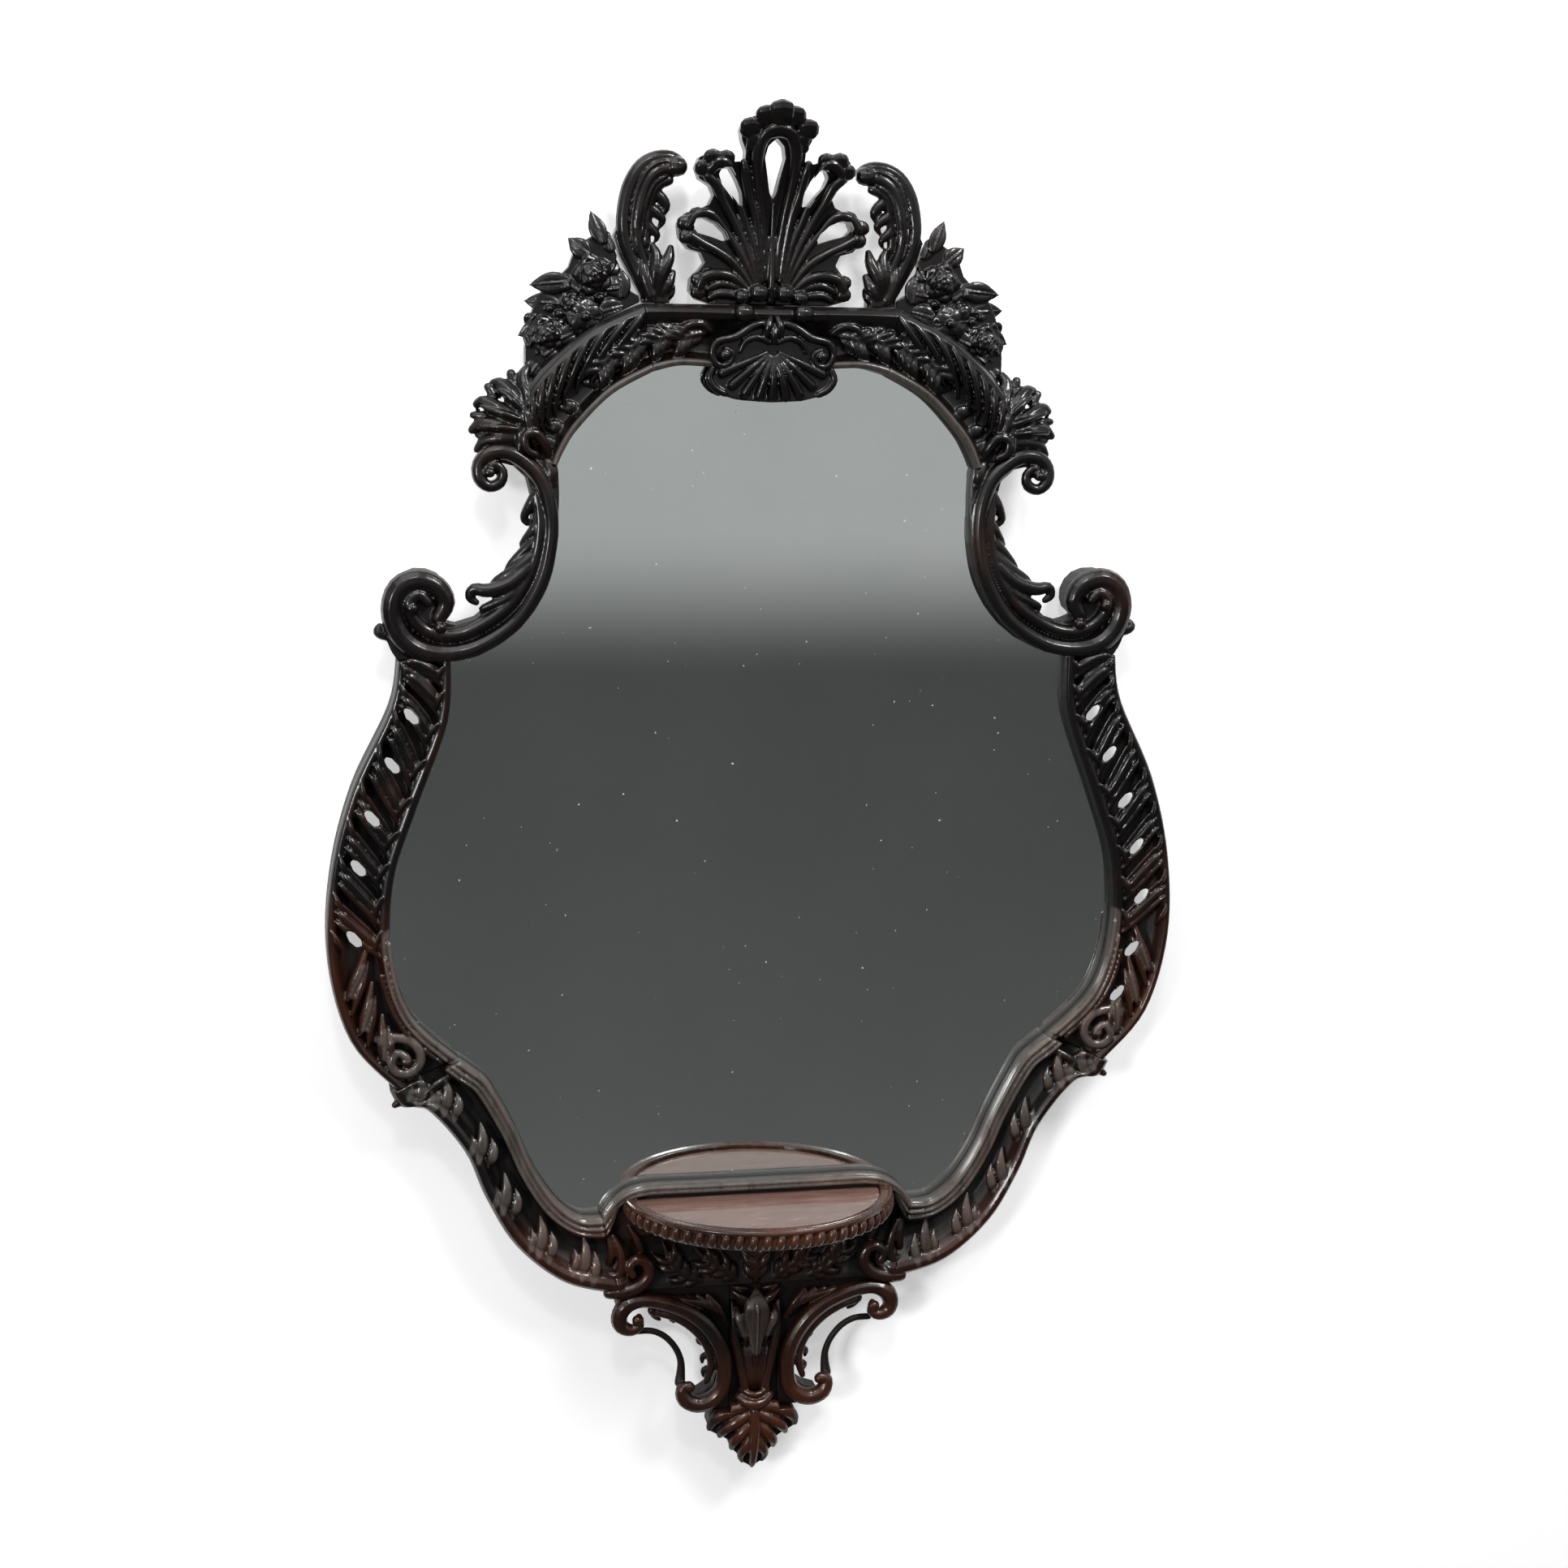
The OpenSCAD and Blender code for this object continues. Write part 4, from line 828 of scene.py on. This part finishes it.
plume(forms, (12, 1053), [(21, 1080, 29, 1), (31, 1102, 30, 1.1), (41, 1118, 30, 1.1), (49, 1132, 30, 1.3),
    (56, 1138, 30, 1.2)])
plume(forms, (14, 1052), [(26, 1077, 29, 1.1), (38, 1095, 30, 1), (50, 1108, 30, 1.2), (62, 1108, 30, 1.5),
    (68, 1099, 30, 1.4)], (62, 1108, 6.6), (71, 1101, 6.8), (70, 1090, 6.4))
plume(forms, (16, 1050), [(31, 1069, 29, 1.2), (45, 1079, 30, 1.2), (57, 1085, 30, 1.3),
    (67, 1091, 30, 1.3)], (62, 1086, 5.4))
plume(forms, (18, 1047), [(32, 1058, 29, 1.3), (45, 1061, 30, 1.4), (57, 1058, 30, 1.4),
    (61, 1050, 29, 1.3)], (62, 1056, 6), (62, 1046, 6), (53, 1062, 5))
plume(forms, (18, 1044), [(31, 1051, 28, 1), (43, 1053, 28, 1.1), (53, 1049, 27, 1)])
plume(forms, (19, 1041), [(31, 1044, 28, 1), (43, 1045, 27, 1.1), (51, 1042, 26, 1)])
for s in (-1, 1):
    forms.ball(s*11, 1046, 33, 7.6)
    forms.ball(s*25, 1042.6, 31, 6.2)
forms.stroke([(0, 1040, 27, 4), (0, 1060, 30, 3), (0, 1090, 29, 2.2), (0, 1118, 28, 1.4)])
forms.ball(0, 1188.6, 29, 11, 0.8)
forms.slab([(-50, 1036.4), (50, 1036.4), (46, 1043), (-46, 1043)], 8, 27)
cuts = Carving()
for s in (-1, 1):
    cuts.hole([(s*x, z) for x, z in ((24.5, 1117), (28.6, 1116), (35, 1124), (43, 1133), (46, 1141),
        (43.6, 1146), (37, 1146), (31, 1137), (26, 1127))])
    cuts.hole([(s*x, z) for x, z in ((35.5, 1089.4), (39.6, 1087.6), (49, 1091), (60, 1094), (65, 1099.6),
        (63, 1105.4), (55, 1106), (45, 1101.6), (38, 1095))])
cuts.hole(across([(0, 1122), (3, 1128), (6, 1143), (8.6, 1155), (6.6, 1164), (0, 1170.4)]))
cuts.box(-90, 1020, 90, 1036.2)
shell = carve("crest_shell_carving", "crest_shell", forms, cuts, grain=1.05, ease=1, bend=crest_bend)
for v in shell.data.vertices:
    middle = max(1 - abs(v.co.z*1000 + hang - 1098)/34, 0)
    v.co.x *= 1 + middle*(0.06 if v.co.x > 0 else 0.03)


# Crest scrolls. A broad fluted leaf on each side of the shell curls over towards it, with a small leaf
# at its foot; each one is glued and dowelled to the middle board and the arm. The left one is larger.
forms = Carving()
forms.strokes([(76, 1146, 20, 5), (84, 1149.6, 21, 6), (96, 1149, 22, 6.4), (108, 1142.6, 22, 6.8),
        (117, 1130, 22, 6.8), (121.6, 1115, 22, 6.6), (123.4, 1099, 22, 6.2), (121, 1084, 21, 6),
        (115, 1070, 20, 6), (108, 1056, 20, 6), (102, 1044, 20, 7)],
    [(80, 1141, 23, 5.6), (92, 1141, 24, 5.6), (102, 1134, 25, 5.6), (108, 1122, 25, 5.4),
        (111, 1109, 25, 5), (112.6, 1096, 24, 4.6), (110.6, 1082, 23, 4.4), (105, 1068, 22, 4.4),
        (98, 1054, 22, 4.4)],
    [(86, 1133, 22, 4.4), (94, 1130, 23, 5), (100, 1122, 23, 5), (102, 1111, 22, 4.6),
        (104, 1098, 21, 4), (104, 1084, 20, 4)],
    [(82, 1147, 26, 1.2), (94, 1146, 28, 1.6), (105, 1139, 29, 1.6), (112, 1126, 29, 1.6),
        (116, 1110, 28, 1.4), (117, 1092, 27, 1.2), (113, 1076, 26, 1)],
    [(88, 1136, 27, 1), (98, 1130, 28, 1.4), (104, 1118, 28, 1.4), (107, 1104, 27, 1.2),
        (108, 1090, 26, 1)])
forms.ball(79.5, 1143.4, 24, 8)
forms.slab([(84, 1036.4), (107, 1036.4), (112, 1046), (126, 1074), (131, 1090), (124, 1108), (112, 1112),
    (103, 1106), (104, 1084), (96, 1064), (86, 1060)], 8, 22)
forms.slab([(85, 1036.4), (106, 1036.4), (104, 1046), (88, 1046)], 8, 27)
forms.strokes([(104, 1124, 20, 5.6), (94, 1121, 22, 5), (88, 1114, 22, 4), (90, 1108, 21, 2.6)],
    [(106, 1113, 20, 5.6), (97, 1109, 22, 4.8), (91, 1103, 22, 3.6), (93, 1098, 21, 2)],
    [(106, 1102, 20, 5), (100, 1096, 21, 4.2), (95, 1091, 21, 3), (96, 1087, 20, 1.8)],
    [(96, 1044, 22, 6), (92, 1060, 25, 6.4), (86, 1072, 24, 5.4), (84, 1081, 22, 3)],
    [(98, 1048, 23, 5.6), (97, 1062, 26, 5.6), (96, 1075, 24, 4.6), (99, 1083, 22, 2.6)],
    [(92, 1042, 22, 5.4), (86, 1052, 24, 5.2), (82, 1061, 22, 3)],
    [(100, 1042, 24, 5.6), (106, 1058, 24, 5.2), (108, 1071, 22, 3.4)],
    [(90, 1040, 22, 4.8), (84, 1044.6, 22, 4.2), (82, 1050, 21, 2.6)])
cuts = Carving()
cuts.box(50, 1000, 200, 1036.2)
cuts.hole([(108.2, 1034), (190, 1034), (190, 1110), (141, 1110), (134.2, 1092), (126.2, 1074),
    (108.2, 1042)])
left_scroll = carve_both("crest_scroll_carving", "crest_scroll", forms, cuts, grain=1.1, ease=1)
for v in left_scroll.data.vertices:
    high = max(v.co.z - (1090 - hang)/1000, 0)
    v.co.z += high*0.06


# Flower sprays. Two roses with turned petals lie among pointed leaves on each arm of the top rail;
# the whole spray is carved from one thin board.
def round_point(x, z, far, angle):
    return x + far*cos(angle), z + far*sin(angle)


def rose(forms, x, z, out, r):
    """Three rings of turned petals round a bud."""
    for size, lift, turn in ((1, 0, 0), (0.62, 3.4, 0.5), (0.3, 6, 0.2)):
        for k in range(5):
            a = 2*pi*(k + turn)/5
            petal = ((0.72, -0.5, 0, 0.2), (0.86, 0, 1.4, 0.25), (0.7, 0.62, 1, 0.17))
            forms.stroke([(*round_point(x, z, r*size*far, a + swing), out + lift + rise, r*thick)
                for far, swing, rise, thick in petal], n=2, sides=8)
    forms.ball(x, z, out + 3, r*0.62, 0.6)
    forms.ball(x, z, out + 8.6, r*0.18)


def leaf(forms, x0, z0, x1, z1, wide, out):
    """A pointed leaf with a raised rib and two flat blades."""
    drop = 4
    a = np.array((x0, z0), float)
    b = np.array((x1, z1), float)
    side = np.array((-(b - a)[1], (b - a)[0]))/np.linalg.norm(b - a)
    for s in (-1, 1):
        p = [(*(a + (b - a)*t + side*s*wide*w*0.5), out - drop*t, max(wide*w*0.5, 0.5))
            for t, w in ((0, 0.4), (0.25, 0.85), (0.5, 0.9), (0.75, 0.55), (0.97, 0.1))]
        forms.stroke(p, 0.45, n=2)
    forms.stroke([(x0, z0, out + 1.2, 1.2), (*(a + (b - a)*0.5), out + 1.4 - drop*0.5, 1.1),
        (x1, z1, out - drop, 0.6)])


forms = Carving()
forms.slab([(109.2, 1036.6), (120, 1031.4), (140, 1022.4), (165, 1005.4), (185, 988.6), (200, 972.6),
    (204, 984), (204, 998), (202, 1012), (198, 1028), (192, 1042), (178, 1054), (168, 1064), (163, 1078),
    (154, 1086), (144, 1092), (136, 1092), (128, 1074), (131, 1060), (124, 1050), (110, 1042)], 8, 20)
forms.slab([(140, 1023), (158, 1009), (169, 1026), (153, 1037)], 8, 26)
rose(forms, 148, 1058, 20, 16)
rose(forms, 186, 1009, 19, 15)
rose(forms, 166, 1034, 18, 11)
for q in ((140, 1084, 150, 1109, 8, 22), (152, 1074, 168, 1087, 9, 22), (168, 1052, 200, 1049, 10, 22),
        (190, 1016, 209, 1008, 8, 20), (178, 1034, 204, 1036, 9, 20), (132, 1078, 141, 1096, 7, 21),
        (146, 1040, 122, 1046, 9, 21), (160, 1044, 178, 1058, 8, 22), (152, 1036, 136, 1032, 9, 20),
        (176, 1020, 158, 1018, 8, 20), (192, 996, 203, 985, 8, 19), (176, 998, 164, 1010, 7, 20),
        (134, 1060, 128, 1070, 7, 21), (196, 1024, 203, 1016, 7, 19), (130, 1034, 116, 1040, 6, 19),
        (142, 1028, 121, 1034, 10, 23), (160, 1018, 142, 1024, 10, 24), (174, 1006, 158, 1014, 10, 24),
        (188, 992, 174, 1002, 10, 23), (200, 976, 190, 990, 9, 21), (146, 1052, 132, 1048, 8, 21),
        (124, 1041, 128, 1066, 10, 21.5), (136, 1046, 119, 1049, 7, 22.5), (200, 1000, 196, 1018, 8, 20)):
    leaf(forms, *q)
for x, z in ((139, 1022), (159, 1008), (171, 1026), (152, 1039)):
    leaf(forms, 155, 1024, x, z, 12, 28)
for x, z, r in ((170, 1048, 3.6), (176, 1026, 3.4), (142, 1040, 3.2), (160, 1020, 3), (184, 1030, 3),
        (197, 1004, 3)):
    forms.ball(x, z, 22, r)
forms.ball(155, 1024, 30, 3.6)
cuts = Carving()
cuts.hole([(90, 1036.3), (108, 1036.3), (120, 1031.2), (134, 1025), (152, 1015.3), (172, 1000.3),
    (190, 983.3), (203, 966), (203, 900), (90, 900)])
cuts.hole([(90, 1030), (108, 1042), (126, 1074), (134, 1092), (138, 1101), (120, 1110), (90, 1110)])
carve_both("flower_spray_carving", "flower_spray", forms, cuts, grain=0.95, ease=1)


# Pendant shell. A fluted half shell planted on the middle of the top rail hangs over the glass,
# between two small scroll eyes, under a bell of three buds.
forms = Carving()
forms.slab(across([(0, 1033), (13, 1029), (28, 1016), (41, 1008), (51, 999), (51, 988), (55, 979),
    (53, 970), (43, 962.6), (25, 958), (0, 956.6)]), 34.05, 39)
for k in range(-4, 5):
    a = radians(k*17)
    far = 37 + 2.2*abs(k)
    forms.stroke([(sin(a)*6, 1000 - cos(a)*6, 42, 1.8), (sin(a)*22, 998 - cos(a)*20, 44, 3),
        (sin(a)*far, 997 - cos(a)*far*0.96, 40, 4.2)])
forms.pair([(6, 1022, 40, 3), (18, 1019, 42, 3.6), (32, 1010, 43, 3.6), (47, 1006, 42, 3.4),
        (51.5, 996, 41, 3.4), (46, 987, 41, 3.2), (37, 988, 42, 3), (34, 996, 43, 2.8),
        (40, 1000, 44, 2.6)],
    [(4, 1006, 42, 2.4), (14, 1010, 44, 3), (24, 1006, 43, 2.6), (28, 998, 42, 2)],
    [(50, 984, 38, 3), (53, 976, 38, 3.4), (48, 968, 38, 3.4), (40, 963.6, 38, 3)])
for s in (-1, 1):
    forms.ball(s*41, 995, 44, 4.4)
for x, z in ((-5, 1016), (5, 1016), (0, 1010)):
    forms.stroke([(x*0.6, z + 10, 42, 2.4), (x, z + 3, 45, 3.6), (x*1.3, z - 4, 44, 2.4)])
carve("pendant_shell_carving", "pendant_shell", forms, grain=0.95, ease=1)


# Shelf board. A half-round board of polished red-brown wood with softened edges, screwed on from
# behind the bottom rail. Its straight edge stands against the plain face of that rail.
shelf_z = (251 - hang)/1000
bpy.ops.object.select_all(action="DESELECT")
bpy.ops.mesh.primitive_cylinder_add(vertices=160, radius=1, depth=0.0139,
    location=(0, -0.034, shelf_z + 0.007))
board = bpy.context.object
board.name = "shelf_board_polished"
board.scale = (0.1089, 0.0989, 1)
bpy.ops.object.transform_apply()
bpy.ops.object.mode_set(mode="EDIT")
bpy.ops.mesh.select_all(action="SELECT")
bpy.ops.mesh.bisect(plane_co=(0, -0.03405, 0), plane_no=(0, 1, 0), clear_outer=True, use_fill=True)
bpy.ops.object.mode_set(mode="OBJECT")
change(board, "BEVEL", width=0.0006, segments=2)
polish = Finish("polished red brown shelf wood")
place = polish.add("TexCoord", output="Object")
figure = polish.add("TexNoise", Vector=polish.add("Mapping", Vector=place, Scale=(6, 46, 20)), Scale=5,
    Detail=7, Distortion=0.4)
wipe = polish.add("TexNoise", Vector=place, Scale=30, Detail=3)
tone = polish.add("ValToRGB", {"stops": [(0.3, (0.15, 0.08, 0.062)), (0.55, (0.215, 0.125, 0.102)),
    (0.75, (0.27, 0.165, 0.14))]}, Fac=figure)
polish.set(Base_Color=tone, Roughness=polish.add("MapRange", Value=wipe, i3=0.08, i4=0.2), IOR=1.8,
    Coat_Weight=1, Coat_Roughness=0.06)
settle(board, "shelf_board", polish.material)


# Shelf rim. A moulded strip is planted round the board: small slanted gadroons swell from under a plain
# fillet, and its top edge stands a few millimetres above the board.
def round_shelf(inset, degrees):
    a = radians(degrees)
    return (122 - inset)*cos(a), 34.1 + (111.7 - inset)*sin(a)


forms = Carving()
wall_of_rim = []
for degrees in np.linspace(0, 180, 121):
    loop = [(12.8, 250.2), (7, 250.2), (5, 254), (5, 262), (2.2, 264.4), (1.6, 266.4), (3, 268.8),
        (6, 267.4), (9, 267.2), (11.4, 268.8), (12.8, 267.6)]
    ring = [(round_shelf(inset, degrees), z) for inset, z in loop]
    wall_of_rim.append([(x, z, out) for (x, out), z in ring])
forms.loft(wall_of_rim)
for degrees in np.linspace(4, 176, 31):
    lobe = [(5.4, 265, -0.6, 2.8), (4.1, 261.4, 0, 4), (4.3, 257.4, 0.5, 4.4), (5.8, 253.6, 0.9, 3.8),
        (8, 252, 1.2, 2)]
    line = []
    for inset, z, lean, r in lobe:
        x, out = round_shelf(inset, degrees + lean)
        line.append((x, z, out, r*0.92))
    forms.stroke(line, n=2)
carve("shelf_rim_carving", "shelf_rim", forms, grain=0.8, finish=red_wood, ease=1)


# Mirror glass. An old silvered plate, a little grey, with dust specks and a few dull spots. It lies
# in the rebate of the frame.
glass = Finish("old mirror glass")
place = glass.add("TexCoord", output="Object")
speck = (glass.add("TexNoise", Vector=place, Scale=210, Detail=1) - 0.755)*24
dust = speck.clamped()
haze = glass.add("TexNoise", Vector=place, Scale=5, Detail=5)
silver = glass.add("ValToRGB", {"stops": [(0.3, (0.72, 0.77, 0.76)), (0.7, (0.8, 0.83, 0.82))]}, Fac=haze)
glass.set(Base_Color=silver, Metallic=1 - dust*0.6, Roughness=(haze - 0.5)*0.03 + 0.02 + dust*0.4)


# Hardware and hidden parts, as made for such a mirror: pads, backboard, dowels, batten, screws,
# bumpers, strap plates and rings. They keep their plain shapes.
def plain_finish(name, pale, dark, rough, scale, metallic=0, stretch=(1, 1, 1)):
    f = Finish(name)
    place = f.add("Mapping", Vector=f.add("TexCoord", output="Object"), Scale=stretch)
    fleck = f.add("TexNoise", Vector=place, Scale=scale, Detail=6, Roughness=0.6)
    tone = f.add("ValToRGB", {"stops": [(0.35, dark), (0.65, pale)]}, Fac=fleck)
    bump = f.add("Bump", Height=fleck, Strength=0.15, Distance=0.0005)
    f.set(Base_Color=tone, Roughness=f.add("MapRange", Value=fleck, i3=rough - 0.08, i4=rough + 0.08),
        Metallic=metallic, Normal=bump)
    return f.material


def dress(names, material):
    for name in names:
        nodes[name].data.materials.clear()
        nodes[name].data.materials.append(material)


dress(["mirror_glass"], glass.material)
dress(["spacer_pads"], plain_finish("cork", (0.42, 0.27, 0.15), (0.2, 0.11, 0.05), 0.8, 900.0))
dress(["backboard", "crest_batten"], plain_finish("old softwood", (0.3, 0.19, 0.1),
    (0.17, 0.095, 0.045), 0.7, 14.0, 0.0, (16, 16, 1.2)))
dress(["joint_dowels"], plain_finish("beech", (0.4, 0.26, 0.15), (0.28, 0.17, 0.09), 0.6, 90.0))
dress(["wall_bumpers"], plain_finish("black rubber", (0.035, 0.033, 0.03), (0.02, 0.02, 0.02), 0.7, 400.0))
dress(["backboard_screws", "batten_screws", "shelf_screws", "bumper_screws", "hanger_screws"],
    plain_finish("screw steel", (0.5, 0.48, 0.44), (0.3, 0.28, 0.25), 0.36, 300.0, 1.0))
dress(["hanger_strap_left", "hanger_strap_right", "hanger_ring_left", "hanger_ring_right"],
    plain_finish("hanger steel", (0.55, 0.5, 0.42), (0.36, 0.31, 0.24), 0.34, 160.0, 1.0))
